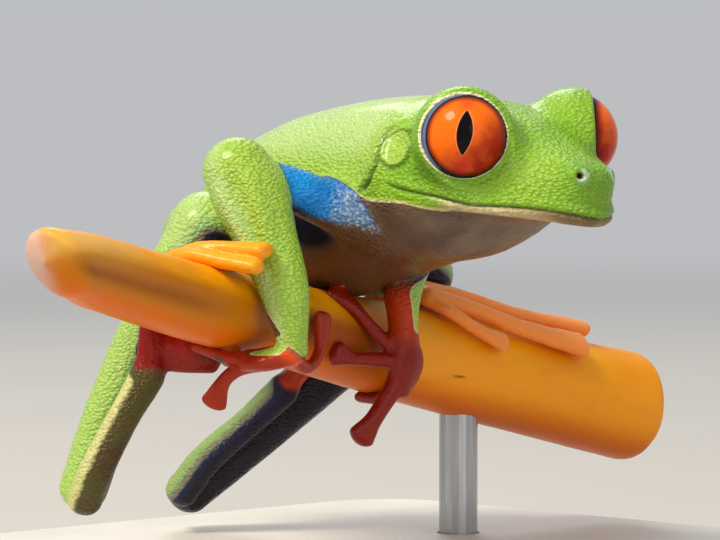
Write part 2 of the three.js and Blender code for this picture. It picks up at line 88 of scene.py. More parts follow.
print("shift", SHIFT)

# %% Smooth tables, ramps and bells
def table(rows):
    """A smooth value from [place, value] stations."""
    at = np.array([r[0] for r in rows], float)
    val = np.array([r[1] for r in rows], float)
    count = len(at)
    low = np.maximum(np.arange(count) - 1, 0)
    high = np.minimum(np.arange(count) + 1, count - 1)
    slope = (val[high] - val[low]) / (at[high] - at[low])

    def read(x):
        x = np.clip(x, at[0], at[-1])
        i = np.clip(np.searchsorted(at, x, side="right") - 1, 0, count - 2)
        h = at[i + 1] - at[i]
        t = (x - at[i]) / h
        rise = t * t * (3 - 2 * t)
        return ((1 - rise) * val[i] + rise * val[i + 1]
                + (t - 1) ** 2 * t * h * slope[i] + (t - 1) * t * t * h * slope[i + 1])

    return read


def ramp(x, low, high):
    """0 up to low, 1 from high on and smooth between; it falls where high is the lesser."""
    t = np.clip((x - low) / (high - low), 0, 1)
    return t * t * (3 - 2 * t)


def bell(x, width):
    """1 where x is 0, and next to nothing beyond twice the width."""
    return np.exp(-(x / width) ** 2)


def blob(p, centre, size=1.0, width=1.0):
    """A bell in three directions round a centre."""
    return bell(np.linalg.norm((p - centre) / size, axis=1), width)


def ridges(x, rows):
    """Low forms side by side: rows of height, place and width."""
    return sum(height * bell(x - at, width) for height, at, width in rows)


print("half way up a ramp is", ramp(0.5, 0, 1), "and a width off a bell", round(float(bell(1, 1)), 3))

# %% [markdown]
# ## Head and trunk
# On the real animal these are one smooth sack, widest behind the eyes and over the ribs, with a
# flat muzzle. Four outlines give it: the back and the belly in side view, and the height and
# reach of the flank. A superellipse joins them at each station. Lofted rings would give a mesh
# at once, but a field can be blended with the limbs, so the armpits and groins get a fillet.

# %% Body outlines
# Each row of a table is a place along X and the outline's value there.
TAIL_X = -37.2
TIP_X = 7.8
TOP = table([[-37.2, -11.2], [-36.2, -8.9], [-34.4, -6.6], [-31, -3.85], [-26.5, -0.7], [-21.4, 1.3],
             [-15, 2.5], [-9, 2.95], [-3, 2.65], [-0.5, 2], [2, 0.95], [4.4, -0.7], [6.6, -1.95],
             [7.35, -2.5], [7.75, -3.15]])
BELLY = table([[-37.2, -12.3], [-36.2, -13.2], [-33, -13.9], [-28, -13.3], [-22, -12.1],
               [-16, -11.5], [-12, -10.5], [-8, -9.4], [-5, -8.9], [-3.2, -8], [-1.5, -6.45],
               [0.6, -5.8], [4, -6.05], [7.2, -6.45], [7.75, -6]])
FLANK_Z = table([[-37.2, -11.9], [-33, -9], [-28, -6.8], [-20, -5], [-12, -4.2], [-6, -3.7],
                 [1.7, -5], [5, -5.4], [7.75, -5.4]])
FLANK_Y = table([[-37.2, 0.9], [-36.2, 2], [-34.4, 3.1], [-30, 4.9], [-25.5, 6.5], [-20, 7.7],
                 [-15, 7.6], [-9, 7.6], [-5.9, 8.1], [-2, 7.75], [1, 6.75], [3, 5.6], [4.8, 4.2],
                 [6, 3.05], [6.9, 2.15], [7.45, 1.45], [7.75, 0.8]])
WIDEST_X = -5.9
UNDER_POWER = 2.2  # how square the belly is, as ROUND is for the back
ROUND = table([[-37.2, 2], [-9, 2.2], [-2, 2.15], [3, 2.1], [5, 2.6], [6.5, 3.1], [7.75, 3]])


def body_reach(p):
    """Distance to the outline at the point's own station."""
    x = np.clip(p[:, 0], TAIL_X, TIP_X)
    mid = FLANK_Z(x)
    dz = p[:, 2] - mid
    upper = dz > 0
    power = np.where(upper, ROUND(x), UNDER_POWER)
    rise = np.where(upper, TOP(x) - mid, mid - BELLY(x))
    rho = (np.abs(p[:, 1] / FLANK_Y(x)) ** power + np.abs(dz / rise) ** power) ** (1 / power)
    d = np.hypot(p[:, 1], dz) * (1 - 1 / np.maximum(rho, 0.05))
    past = np.abs(p[:, 0] - x)
    return np.where(past > 0, np.hypot(np.maximum(d, 0), past), d)


def body_field(p):
    """Distance to the head and trunk, evened out where the outline runs steeply along X."""
    half = 0.15
    step = np.array([half, 0, 0])
    slope = (body_reach(p + step) - body_reach(p - step)) / (2 * half)
    return body_reach(p) / np.sqrt(1 + slope ** 2)


print("snout to vent", TIP_X - TAIL_X, "mm, widest", round(float(FLANK_Y(WIDEST_X) * 2), 1), "mm")

# %% [markdown]
# ## Limbs as swept ellipses
# Each limb, palm and digit is an ellipse carried along a bent line, with rounded ends. The
# nearest place on the line is found for every point at once with matrix products, which numpy
# does far faster than a loop over points.

# %% Swept shapes
FAR = 6.0  # millimetres, where a part's field isn't worked out
REACH = 2.6  # how far from a part it is worked out
STEPS = 4  # pieces of line between one station and the next


def spline(points):
    """Places and directions along a smooth line through the points."""
    p = np.array(points, float)
    p = np.vstack([2 * p[0] - p[1], p, 2 * p[-1] - p[-2]])
    places = []
    leads = []
    for k in range(1, len(p) - 2):
        a, b, c = [max(np.linalg.norm(p[j + 1] - p[j]) ** 0.5, 1e-3) for j in (k - 1, k, k + 1)]
        m0 = ((p[k] - p[k - 1]) / a - (p[k + 1] - p[k - 1]) / (a + b) + (p[k + 1] - p[k]) / b) * b
        m1 = ((p[k + 1] - p[k]) / b - (p[k + 2] - p[k]) / (b + c) + (p[k + 2] - p[k + 1]) / c) * b
        for s in range(STEPS + (k == len(p) - 3)):
            t = s / STEPS
            rise = t * t * (3 - 2 * t)
            places.append((1 - rise) * p[k] + rise * p[k + 1]
                          + (t - 1) ** 2 * t * m0 + (t - 1) * t * t * m1)
            leads.append(6 * t * (1 - t) * (p[k + 1] - p[k])
                         + (1 - t) * (1 - 3 * t) * m0 + t * (3 * t - 2) * m1)
    return np.array(places), unit(np.array(leads))


def sweep(path, widths, up=(0, 0, 1)):
    """Everything a swept ellipse needs, worked out once; up says which way its thickness lies."""
    place, lead = spline(path)
    spans = np.arange(len(place)) / STEPS
    size = np.stack([table([[i, w[k]] for i, w in enumerate(widths)])(spans) for k in (0, 1)], 1)
    ups = np.array(up if np.ndim(up) == 2 else [up] * len(path), float)
    guide = np.stack([np.interp(spans, np.arange(len(path)), ups[:, k]) for k in range(3)], 1)
    side = unit(np.cross(lead, guide))
    return {"place": place, "lead": lead, "side": side, "top": unit(np.cross(side, lead)),
            "size": size, "low": place.min(0) - size.max(), "high": place.max(0) + size.max()}


def sweep_field(p, s):
    """Distance to one swept shape, the way out from its line, and the place along it."""
    inside = np.all((p > s["low"] - REACH) & (p < s["high"] + REACH), axis=1)
    d = np.full(len(p), FAR)
    out = np.zeros((len(p), 3))
    along = np.zeros(len(p))
    q = p[inside]
    if len(q) == 0:
        return d, out, along
    a = s["place"][:-1]
    ab = s["place"][1:] - a
    length2 = (ab ** 2).sum(1)
    dot = q @ ab.T - (a * ab).sum(1)
    t = np.clip(dot / length2, 0, 1)
    gap2 = (q ** 2).sum(1)[:, None] - 2 * (q @ a.T) + (a ** 2).sum(1) - 2 * t * dot + t * t * length2
    k = gap2.argmin(1)
    t = t[np.arange(len(q)), k][:, None]
    near = {key: s[key][k] * (1 - t) + s[key][k + 1] * t
            for key in ("place", "lead", "side", "top", "size")}
    r = q - near["place"]
    wide, thick = near["size"].T
    rho = np.sqrt(((r * near["side"]).sum(1) / wide) ** 2 + ((r * near["top"]).sum(1) / thick) ** 2
                  + ((r * near["lead"]).sum(1) / np.minimum(wide, thick)) ** 2)
    span = np.linalg.norm(r, axis=1)
    d[inside] = span * (1 - 1 / np.maximum(rho, 0.02))
    out[inside] = r / np.maximum(span, 1e-6)[:, None]
    along[inside] = (k + t[:, 0]) / len(a)
    return d, out, along


def soft_min(a, b, k):
    """The nearer of two shapes, with a fillet of about k between them."""
    h = np.maximum(k - np.abs(a - b), 0) / k
    return np.minimum(a, b) - h * h * k * 0.25


print("a swept shape is ready")

# %% [markdown]
# ## The flower stem's line
# The frog holds a cut length of a thick flower stem. Its line and radius come first, because
# the left foot's toes are laid on it: `on_stem` gives a place on its skin.

# %% Stem line
STEM_PATH = [[-7.8, -36.6, -8.4], [-9.6, -32, -9.2], [-13, -20.3, -11.6], [-15.7, -11, -13.2],
             [-18, 0, -15.3], [-18.9, 11, -17.5], [-18.2, 21, -19.6], [-16.8, 31, -21.8]]
STEM_RADII = [2.35, 2.5, 2.75, 2.95, 3.4, 3.8, 4.1, 4.4]
STEM_X = table([[p[1], p[0]] for p in STEM_PATH])
STEM_Z = table([[p[1], p[2]] for p in STEM_PATH])
STEM_R = table([[p[1], r] for p, r in zip(STEM_PATH, STEM_RADII)])


def on_stem(y, angle, lift):
    """A place on the stem: y along it, angle round it (0 front, 90 top, 180 back)."""
    lead = float(STEM_X(y + 0.5) - STEM_X(y - 0.5))
    front = unit([1, -lead, 0])
    w = math.radians(angle)
    reach = float(STEM_R(y)) + lift
    return [float(STEM_X(y)) + front[0] * math.cos(w) * reach, y + front[1] * math.cos(w) * reach,
            float(STEM_Z(y)) + math.sin(w) * reach]


print("stem length", round(sum(math.dist(a, b) for a, b in zip(STEM_PATH, STEM_PATH[1:])), 1), "mm")

# %% [markdown]
# ## Arms, legs, hands and feet
# A tree frog's digits are thin and end in a round pad. One function gives every digit its
# widths, so only its bent line is written out. The right hand grips the stem from below, the
# left hand from the front, and both feet lie along it.

# %% Widths of the limbs
# Each pair is half the width and half the thickness at one station of a line.
DIGIT = [[0.62, 0.55], [0.52, 0.48], [0.54, 0.46], [0.95, 0.5]]


def digit(path, up, size=1.0):
    """A finger or toe: thin along its bones, wide and flat at its pad."""
    rows = [DIGIT[3] if i == len(path) - 1 else DIGIT[min(i, 2)] for i in range(len(path))]
    return sweep(path, [[a * size, b * size] for a, b in rows], up)


ARM = [[2.5, 2.3], [2, 1.75], [1.8, 1.6], [1.9, 1.8]]
TARSUS = [[1.3, 1.2], [1.25, 1.1], [1.15, 1.05], [1.25, 1.1]]
SOLE = [[1.3, 0.9], [1.6, 0.75], [1.7, 0.7], [1.6, 0.62]]
OUTER = (1, -1, 0)  # ahead and to the right, the flat side of the hanging legs
print("a digit's pad is", 2 * DIGIT[3][0], "mm wide")

# %% Limb lines
LIMBS = {
    "upper_arm_right": [sweep([[-8.6, -5.2, -6.2], [-10.9, -7.8, -5.3], [-12.6, -10.4, -3.9],
                               [-14, -12.9, -3.1]], ARM[:3] + [[1.6, 1.5]])],
    "forearm_right": [sweep([[-14.4, -14.25, -2.5], [-13.15, -13.95, -4.7], [-11.8, -13.7, -7.6],
                             [-10.1, -13.6, -11.2], [-9.7, -13.4, -14], [-9.7, -13.2, -15]],
                            [[2.5, 2.4], [2.65, 2.35], [2.2, 1.95], [1.75, 1.45], [1.2, 1.2],
                             [1.05, 1.1]], (1, -1, 0.3))],
    "hand_right": [
        sweep([[-9.9, -13.3, -15.5], [-11.3, -14.2, -15.9], [-12.6, -15, -16]],
              [[1.2, 0.85], [1.75, 0.8], [1.6, 0.7]], (0.35, 0, 1)),
        digit([[-12.2, -15.7, -15.9], [-13.3, -16.2, -15.8], [-14.5, -16.7, -15.4],
               [-15.4, -17.1, -15]], (0.2, 0, 1)),
        digit([[-12.3, -14.7, -16.1], [-13.2, -14.6, -16.3], [-14.2, -14.3, -16.3],
               [-15.2, -14, -16.2]], (0.2, 0, 1)),
        digit([[-11.9, -14.7, -16.2], [-13, -15.6, -16.7], [-13.8, -16.2, -17.6],
               [-14.3, -16.6, -19]], (0.8, -0.6, 0.3)),
        digit([[-10.4, -12.6, -15.8], [-11.6, -9.9, -16.7], [-12.4, -8, -15.7],
               [-12.7, -7.3, -13.2]], (1, 0, -0.5), 0.92)],
    "upper_arm_left": [sweep([[-8.6, 5.2, -6.2], [-11.4, 7.6, -5], [-14, 9.4, -3.7],
                              [-15.8, 10.4, -2.9]], ARM)],
    "forearm_left": [sweep([[-16.4, 10.4, -3], [-15.9, 8.1, -4.8], [-14.9, 5, -7.8],
                            [-13.9, 2.4, -11], [-13.1, 1.4, -13.6], [-12.9, 1.2, -14.6]],
                           [[2.4, 2.3], [2.5, 2.2], [2, 1.8], [1.55, 1.4], [1.1, 1.15],
                            [1.05, 1.1]], (1, 0.6, 0.3))],
    "hand_left": [
        sweep([[-12.8, 1.3, -15.4], [-12.7, 1.3, -17], [-12.8, 0.6, -18.7]],
              [[1.2, 0.9], [1.75, 0.85], [1.2, 0.75]], (1, 0, -0.3)),
        digit([[-12.8, 0.7, -18.2], [-12.9, -0.7, -19.7], [-13.2, -1.6, -21],
               [-13.7, -2.3, -22.2]], (1, 0, -0.2), 1.35),
        digit([[-12.9, 0.2, -16.7], [-13.4, -1.9, -16.5], [-13.8, -3.4, -16.4],
               [-13.9, -4.7, -16]], (1, 0, -0.2)),
        digit([[-13.1, 0.4, -16], [-13.9, -1.4, -14], [-14.5, -2.4, -12.7],
               [-15.6, -3.2, -11.6]], (1, 0, 0.6)),
        digit([[-13, 1.5, -16.9], [-14.6, 2.5, -18.7], [-17, 3, -19.8], [-18.9, 3.2, -19.8]],
              [(1, 0, -0.3), (0.7, 0, -0.8), (0, 0, -1), (0, 0, -1)])],
    "thigh_right": [sweep([[-30.6, -3, -8.8], [-27, -6.2, -7.9], [-22.4, -10.2, -7],
                           [-17.4, -14.6, -6.3]], [[2.9, 3.1], [3, 3.1], [2.7, 2.7], [2.3, 2.3]])],
    "shank_right": [sweep([[-16.8, -15.4, -6.7], [-18.3, -16.6, -10.2], [-20.6, -18, -15.2],
                           [-22.8, -19.3, -20.6], [-24.4, -20.2, -25.6]],
                          [[2.3, 2.2], [2.3, 2.1], [2.05, 1.85], [1.85, 1.65], [1.75, 1.6]], OUTER)],
    "tarsus_right": [sweep([[-23.1, -21.2, -26.2], [-21.6, -21.5, -24.2], [-19.9, -20.6, -20.6],
                            [-18.3, -19.4, -17.2]], TARSUS, OUTER)],
    "foot_right": [
        sweep([[-18.2, -19.1, -16.4], [-18, -18.6, -13], [-17.5, -18.6, -10.6],
               [-16.6, -18.6, -9.2]], SOLE, (-1, 0, 0.3)),
        digit([[-16.7, -18.2, -8.9], [-14.4, -18.1, -8.1], [-12.2, -17.1, -8],
               [-9.9, -16, -8.1]], (0, 0, 1), 1.22),
        digit([[-16.7, -19.1, -9.1], [-14.4, -19.1, -8.45], [-12, -18.1, -8.85],
               [-9.8, -16.8, -9.2]], (0, 0, 1), 1.18),
        digit([[-16.9, -17.5, -9.1], [-15.5, -17, -8.8], [-14.3, -16.6, -8.9],
               [-13.4, -16.2, -9.2]], (0, 0, 1)),
        digit([[-17.6, -18.2, -10.6], [-18, -16.9, -10.3], [-18.3, -15.9, -10.5]], (-1, 0, 0.6)),
        sweep([[-18.3, -19, -15.3], [-17.4, -17.8, -15.4], [-16.4, -16.6, -15.7],
               [-15.6, -15.4, -16.1]], [[1.3, 0.8], [1.5, 0.65], [1.35, 0.6], [1, 0.55]], OUTER)],
    "thigh_left": [sweep([[-30.6, 3, -8.8], [-28, 6.6, -8.6], [-24.8, 10, -9.5],
                          [-21.6, 12.3, -10.4]], [[2.9, 3.1], [3, 3.1], [2.7, 2.6], [2.2, 2.1]])],
    "shank_left": [sweep([[-21.4, 12.4, -10.9], [-23.6, 10.6, -14], [-27.2, 7, -18.4],
                          [-31.2, 3.2, -23.4], [-34.9, -0.3, -27.8]],
                         [[2.1, 2.1], [2.35, 2.2], [2.3, 2.1], [2, 1.8], [1.8, 1.65]], OUTER)],
    "tarsus_left": [sweep([[-33.6, -2.2, -27.6], [-31.7, -1.4, -25.1], [-29.2, 0.6, -22.3],
                           [-26.9, 2.2, -19.7]], TARSUS, OUTER)],
    "foot_left": [
        sweep([[-26.5, 2.6, -19], [-24.8, 4.6, -16.2], [-22.4, 6.6, -13.4], [-19.6, 8.6, -12.4]],
              SOLE, (-0.6, -0.3, 1)),
        digit([on_stem(9.2, 88, 1.5), on_stem(13, 82, 1.5), on_stem(18.5, 79, 1.05),
               on_stem(25.4, 84, 1)], (0, 0, 1), 1.45),
        digit([on_stem(8.6, 74, 1.2), on_stem(12.5, 60, 1.2), on_stem(17.5, 50, 1),
               on_stem(23, 44, 1)], (0.6, 0, 0.7), 1.35),
        digit([on_stem(8.9, 102, 1), on_stem(12.4, 106, 0.95), on_stem(16.5, 106, 0.95),
               on_stem(20.6, 104, 0.95)], (-0.2, 0, 1), 1.15),
        digit([on_stem(8.3, 84, 1.1), on_stem(9.2, 54, 1), on_stem(11.6, 36, 0.9),
               on_stem(14.2, 28, 0.9)], (0.8, 0, 0.6)),
        digit([on_stem(6.4, 128, 1.1), on_stem(4.9, 138, 0.95), on_stem(3.4, 142, 0.95)],
              (-0.8, 0, 0.6), 0.9)],
}
print(len(LIMBS), "limb parts,", sum(len(v) for v in LIMBS.values()), "swept shapes")

# %% [markdown]
# ## Eyes and lids
# The eyes stand out of the head in two domes. Each dome is a ball blended into the skull, with
# a flared bore for the eye and a fine raised margin round it, which is the lid. The eyeball
# is slightly larger than the opening, so the lid closes on it and leaves no gap.

# %% Eye sizes
EYE_CENTRE = np.array([-0.1, 5.72, -0.12])  # centre of the dome, left side
EYE_TURN = math.radians(46)  # how far the eye looks out from straight ahead
EYE_AXIS = unit([math.cos(EYE_TURN), math.sin(EYE_TURN), 0.03])
DOME_R = 3.62
DOME_LENGTH = 1.03  # a dome is this much longer fore and aft
DOME_FILLET = 1.3
LID_OPEN = 3.0  # radius of the opening, fore and aft
LID_SQUASH = 0.965  # its height as a share of its length
LID_AHEAD = 1.3  # the margin stands this far along the axis
LID_MARGIN = 0.15  # radius of the fine raised margin
BORE_FLOOR = 0.5  # how deep the bore goes, along the axis
BALL_R = 3.25
BALL_AHEAD = 0.05  # ball centre ahead of the dome's


def eye_frame(p):
    """Distance ahead of the dome's centre and off the eye's axis, for whichever side is nearer."""
    q = mirrored(p) - EYE_CENTRE
    ahead = q @ EYE_AXIS
    rise = q[:, 2] - ahead * EYE_AXIS[2]
    off = np.sqrt(np.maximum((q ** 2).sum(1) - ahead ** 2, 0) + rise ** 2 * (LID_SQUASH ** -2 - 1))
    return q, ahead, off


def with_eyes(p, d):
    """Add the domes, the bores and the lid margins to the head's field."""
    q, ahead, off = eye_frame(p)
    dome = np.linalg.norm(q / [DOME_LENGTH, 1, 1], axis=1) - DOME_R
    d = soft_min(d, dome, DOME_FILLET)
    flare = LID_OPEN + 0.05 + np.maximum(ahead - LID_AHEAD + 0.05, 0) * 2.0
    bore = np.maximum(off - flare, BORE_FLOOR - ahead)
    d = -soft_min(-d, bore, 0.5)
    margin = np.hypot(off - LID_OPEN - 0.12, ahead - LID_AHEAD) - LID_MARGIN
    return soft_min(d, margin, 0.2)


EAR = np.array([-5.05, 7.35, -0.95])  # middle of the eardrum, left side
EAR_AXIS = unit([-0.1, 1.0, 0.34])
EAR_R = 1.42


def ear_gap(p):
    """Distance off the eardrum's axis, and ahead of its middle."""
    q = mirrored(p) - EAR
    ahead = q @ EAR_AXIS
    return np.sqrt(np.maximum((q ** 2).sum(1) - ahead ** 2, 0)), ahead


def with_ears(p, d):
    """The eardrum is a flat plate that stands a little proud where the head curves away."""
    ring, ahead = ear_gap(p)
    return soft_min(d, np.maximum(ring - EAR_R + 0.06, np.abs(ahead + 0.5) - 0.52), 0.22)


print("eye opening", 2 * LID_OPEN, "mm, eardrum", 2 * EAR_R, "mm")

# %% [markdown]
# ## One field for the whole animal
# A part is blended only with what it grows from: the upper arms and thighs into the trunk, and
# each limb along its own chain. Parts that merely touch meet in a crease, as folded skin does.

# %% Field of the flesh
# The numbers are fillets, in millimetres: JOINTS along a limb and ROOTS where it leaves the trunk.
CHAINS = [("upper_arm", "forearm", "hand"), ("thigh", "shank", "tarsus", "foot")]
JOINTS = {"forearm": 0.9, "hand": 0.7, "shank": 0.8, "tarsus": 0.4, "foot": 0.7}
ROOTS = {"upper_arm": 1.6, "thigh": 1.8}
WEB = 0.3  # between a palm or sole and its digits


def part_field(p, name):
    """Distance to one part of a limb."""
    d = np.full(len(p), FAR)
    for s in LIMBS[name]:
        d = soft_min(d, sweep_field(p, s)[0], WEB)
    return d


def flesh(p):
    """Distance in millimetres from the skin, negative inside."""
    parts = {name: part_field(p, name) for name in LIMBS}
    total = with_ears(p, with_eyes(p, body_field(p)))
    for name, k in ROOTS.items():
        for side in ("right", "left"):
            total = soft_min(total, parts[f"{name}_{side}"], k)
    for chain in CHAINS:
        for side in ("right", "left"):
            d = parts[f"{chain[0]}_{side}"]
            for name in chain[1:]:
                d = soft_min(d, parts[f"{name}_{side}"], JOINTS[name])
            total = np.minimum(total, d)
    return total


def in_batches(function, p, batch=150000):
    """A long list of points, a part at a time, which keeps memory small."""
    return np.concatenate([function(p[i:i + batch]) for i in range(0, len(p), batch)])


print("field at the eye dome's top", flesh((EYE_CENTRE + [0, 0, DOME_R])[None]).round(3))

# %% [markdown]
# ## From the field to a mesh
# The field is sampled on a grid and OpenVDB wraps quads round its zero level. Sampling every
# cell would be slow, so large blocks are tried first and only those near the skin are split.

# %% Sample the field and wrap it
VOXEL = 0.205  # millimetres from one sample to the next
BLOCK = 8  # samples along a block that is tried first
HALF_DIAGONAL = 0.87  # of a cube, as a share of its side
MARGIN = 0.25  # millimetres by which the field may be out
BAND = 0.9  # the field is only kept this near the skin
LOW = np.array([-39.5, -24.5, -30.9])
HIGH = np.array([9.5, 29.5, 5.2])


def sample_field(low, high, voxel):
    """The field on a grid, worked out in full only near the skin."""
    count = np.ceil((high - low) / (voxel * BLOCK)).astype(int)
    cells = np.indices(count).reshape(3, -1).T * BLOCK
    d = in_batches(flesh, low + (cells + (BLOCK - 1) / 2) * voxel)
    grid = d.reshape(count).astype(np.float32)
    for axis in range(3):
        grid = np.repeat(grid, BLOCK, axis)
    for block, part in ((BLOCK, 2), (2, 1)):
        near = cells[np.abs(d) < voxel * block * HALF_DIAGONAL + MARGIN]
        split = np.indices([block // part] * 3).reshape(3, -1).T * part
        cells = (near[:, None] + split[None]).reshape(-1, 3)
        d = in_batches(flesh, low + (cells + (part - 1) / 2) * voxel)
        for corner in np.indices([part] * 3).reshape(3, -1).T:
            grid[tuple((cells + corner).T)] = d
    return grid


samples = sample_field(LOW, HIGH, VOXEL)
volume = openvdb.FloatGrid(3.0)
volume.copyFromArray(np.clip(samples, -BAND, BAND))
points, quads = volume.convertToQuads(isovalue=0.0)
points = LOW + points.astype(float) * VOXEL
print("grid", samples.shape, "skin", len(points), "points", len(quads), "quads")

# %% [markdown]
# ## Finer mesh where the face needs it
# The lid margins, the nostrils, the eardrum and the mouth have forms of a quarter of a
# millimetre. Their edges are split once, and every point is then pushed back on to the field.

# %% Face lines
NOSTRIL = np.array([6.84, 1.55, -2.98])
MOUTH_Z = table([[-6.4, -3.25], [-5.3, -3.48], [-4.1, -3.8], [-0.95, -4.36], [1.3, -4.9],
                 [2.7, -4.95], [5.2, -5.17], [7.1, -5.62], [7.8, -5.9]])
JAW_Z = table([[-9, -4.45], [-7, -4.35], [-4.2, -4.42], [-0.5, -5.13], [2.6, -5.52], [4.9, -5.92],
               [7.8, -6.4]])
FOLD = np.array([[-3.9, 6.3, 1.5], [-5.6, 6.2, 0.95], [-6.75, 6.6, 0.2], [-6.75, 7.3, -0.9],
                 [-6.65, 7.8, -2.1], [-7.3, 7.85, -3.2], [-8.4, 7.7, -4.2]])
RIDGE = np.array([[3.1, 3.7, -0.6], [4.9, 2.9, -1.75], [6.5, 1.95, -2.6]])


def to_line(p, line):
    """Distance to an open line on either side of the head, and the place along it."""
    q = mirrored(p)
    best = np.full(len(p), np.inf)
    place = np.zeros(len(p))
    for k, (a, b) in enumerate(zip(line, line[1:])):
        t = np.clip((q - a) @ (b - a) / ((b - a) @ (b - a)), 0, 1)
        gap = np.linalg.norm(q - a - t[:, None] * (b - a), axis=1)
        place = np.where(gap < best, (k + t) / (len(line) - 1), place)
        best = np.minimum(best, gap)
    return best, place


def mirrored_gap(p, centre):
    """Distance to a place on either side of the head."""
    return np.linalg.norm(mirrored(p) - centre, axis=1)


def on_head(p):
    """True ahead of the shoulders and above the throat."""
    return (p[:, 0] > -9.5) & (p[:, 2] > -7.4)


def fine_zone(p):
    """True where the mesh has to be finer."""
    _, ahead, off = eye_frame(p)
    lid = (np.abs(off - LID_OPEN - 0.15) < 0.55) & (ahead > 0.9) & (ahead < 2.2)
    ear = np.abs(mirrored_gap(p, EAR) - EAR_R) < 0.4
    nose = mirrored_gap(p, NOSTRIL) < 0.8
    mouth = (np.abs(p[:, 2] - MOUTH_Z(p[:, 0])) < 0.4) & (p[:, 0] > -6.2)
    fold = to_line(p, FOLD)[0] < 0.35
    return on_head(p) & (lid | ear | nose | mouth | fold)


print("mouth line from", float(MOUTH_Z(TAIL_X)), "to", float(MOUTH_Z(TIP_X)), "mm in height")

# %% Tools for the mesh
PROBE = 0.02  # millimetres, to feel the field's slope
FLATTEST = 0.2  # least slope that is trusted, squared
FURTHEST = 0.12  # millimetres that a point moves in one round


def settle(p, rounds):
    """Push points along the field's slope on to the skin."""
    for _ in range(rounds):
        d = in_batches(flesh, p)
        slope = np.stack([in_batches(flesh, p + e) - d for e in np.eye(3) * PROBE], 1) / PROBE
        steep = np.maximum((slope ** 2).sum(1), FLATTEST)
        p = p - slope * np.clip(d / steep, -FURTHEST, FURTHEST)[:, None]
    return p


def relax(p, edges, amount):
    """Even out the spacing of points a little."""
    total = np.zeros_like(p)
    count = np.zeros(len(p))
    for a, b in ((0, 1), (1, 0)):
        np.add.at(total, edges[:, a], p[edges[:, b]])
        np.add.at(count, edges[:, a], 1)
    return p + (total / np.maximum(count, 1)[:, None] - p) * amount


def read_rows(items, key, width, kind=float):
    """A mesh's own numbers as an array, with one row for each item."""
    flat = np.empty(len(items) * width, kind)
    items.foreach_get(key, flat)
    return flat.reshape(-1, width)


def new_object(name, data):
    """An object in the scene, at the origin."""
    thing = bpy.data.objects.new(name, data)
    bpy.context.scene.collection.objects.link(thing)
    return thing


def thinned(mesh, share):
    """Collapse the mesh to a share of its faces, mostly where it is flat."""
    holder = new_object("holder", mesh)
    holder.modifiers.new("thin", "DECIMATE").ratio = share
    shown = holder.evaluated_get(bpy.context.evaluated_depsgraph_get())
    result = bpy.data.meshes.new_from_object(shown)
    bpy.data.objects.remove(holder)
    return result


print("a point may move", FURTHEST, "mm in one round")

# %% Split and settle the points
TRIANGLES = 165000  # before the split, which adds some more; before the split, so that it stays under 200,000
skin = bpy.data.meshes.new("frog_skin")
skin.from_pydata(settle(points, 1).tolist(), [], quads.tolist())
skin = thinned(skin, TRIANGLES / (2 * len(quads)))
build = bmesh.new()
build.from_mesh(skin)
middle = np.array([(e.verts[0].co + e.verts[1].co) / 2 for e in build.edges])
chosen = [e for e, fine in zip(build.edges, fine_zone(middle)) if fine]
bmesh.ops.subdivide_edges(build, edges=chosen, cuts=1, use_grid_fill=True)
bmesh.ops.triangulate(build, faces=build.faces)
bmesh.ops.recalc_face_normals(build, faces=build.faces)
build.to_mesh(skin)
build.free()
edges = read_rows(skin.edges, "vertices", 2, int)
points = settle(read_rows(skin.vertices, "co", 3), 1)
points = settle(relax(points, edges, 0.4), 2)
skin.vertices.foreach_set("co", points.ravel())
skin.update()
print(len(chosen), "edges split,", len(skin.polygons), "triangles")

# %% [markdown]
# ## Relief too fine for the field
# The mouth is a thin crease between two soft lips, the nostril a small raised ring round a
# hole, the eardrum a round plate with a rim. The fold behind it, the ridges of the forearm and
# the belly's sag on to the stem come with them. All are heights along the skin's normal. A
# displacement texture could carry such forms too, but these follow lines that are known exactly.

# %% Relief
MOUTH_CORNER = -5.9
LIPS = [(0.1, 0.34, 0.26), (0.07, -0.36, 0.3), (-0.2, 0.0, 0.12)]  # height, place and width
EAR_RIM = [(0.08, -0.2, 0.17), (-0.16, 0.06, 0.15)]
FOLD_FORM = [(0.2, 0.5, 0.3), (-0.34, 0.0, 0.18)]
NOSTRIL_FORM = [(0.3, 0.0, 0.95), (0.1, 0.34, 0.2), (-0.5, 0.0, 0.2)]
FOREARM_FORM = [(0.3, -48, 14), (-0.34, -20, 12), (0.2, 6, 13)]  # these lie by degrees
BELLY_SAG = np.array([-16.6, 0.8, -11.6])  # where the belly settles on the stem
SAG_SIZE = [2.8, 3.2, 1.2]
SAG = 0.42  # millimetres, at the middle of it
WRIST_FOLD = 0.62  # millimetres from one fine fold to the next


def mouth_gap(p):
    """Height above the mouth line, and how much of the mouth there is here."""
    gap = p[:, 2] - MOUTH_Z(p[:, 0])
    return gap, on_head(p) * ramp(p[:, 0], MOUTH_CORNER, MOUTH_CORNER + 1.0)


def lumps(p, size, seed):
    """Soft unevenness about as wide as size."""
    rng = np.random.default_rng(seed)
    total = np.zeros(len(p))
    for way in unit(rng.normal(size=(7, 3))):
        total += np.sin(p @ way * (2 * math.pi / size * rng.uniform(0.7, 1.4)) + rng.uniform(0, 6.3))
    return total / 7


def round_forearm(out):
    """Degrees round a forearm, 0 where it faces ahead and to the right."""
    return np.degrees(np.arctan2(out @ unit([1, 1, 0.1]), out @ unit([1, -1, 0.3])))


def forearm_ridges(p):
    """Two low ridges with a groove between them, along the outside of the right forearm."""
    gap, out, along = sweep_field(p, LIMBS["forearm_right"][0])
    form = ridges(round_forearm(out), FOREARM_FORM)
    return form * ramp(np.abs(gap), 0.9, 0.3) * ramp(along, 0.02, 0.15) * ramp(along, 0.62, 0.3)


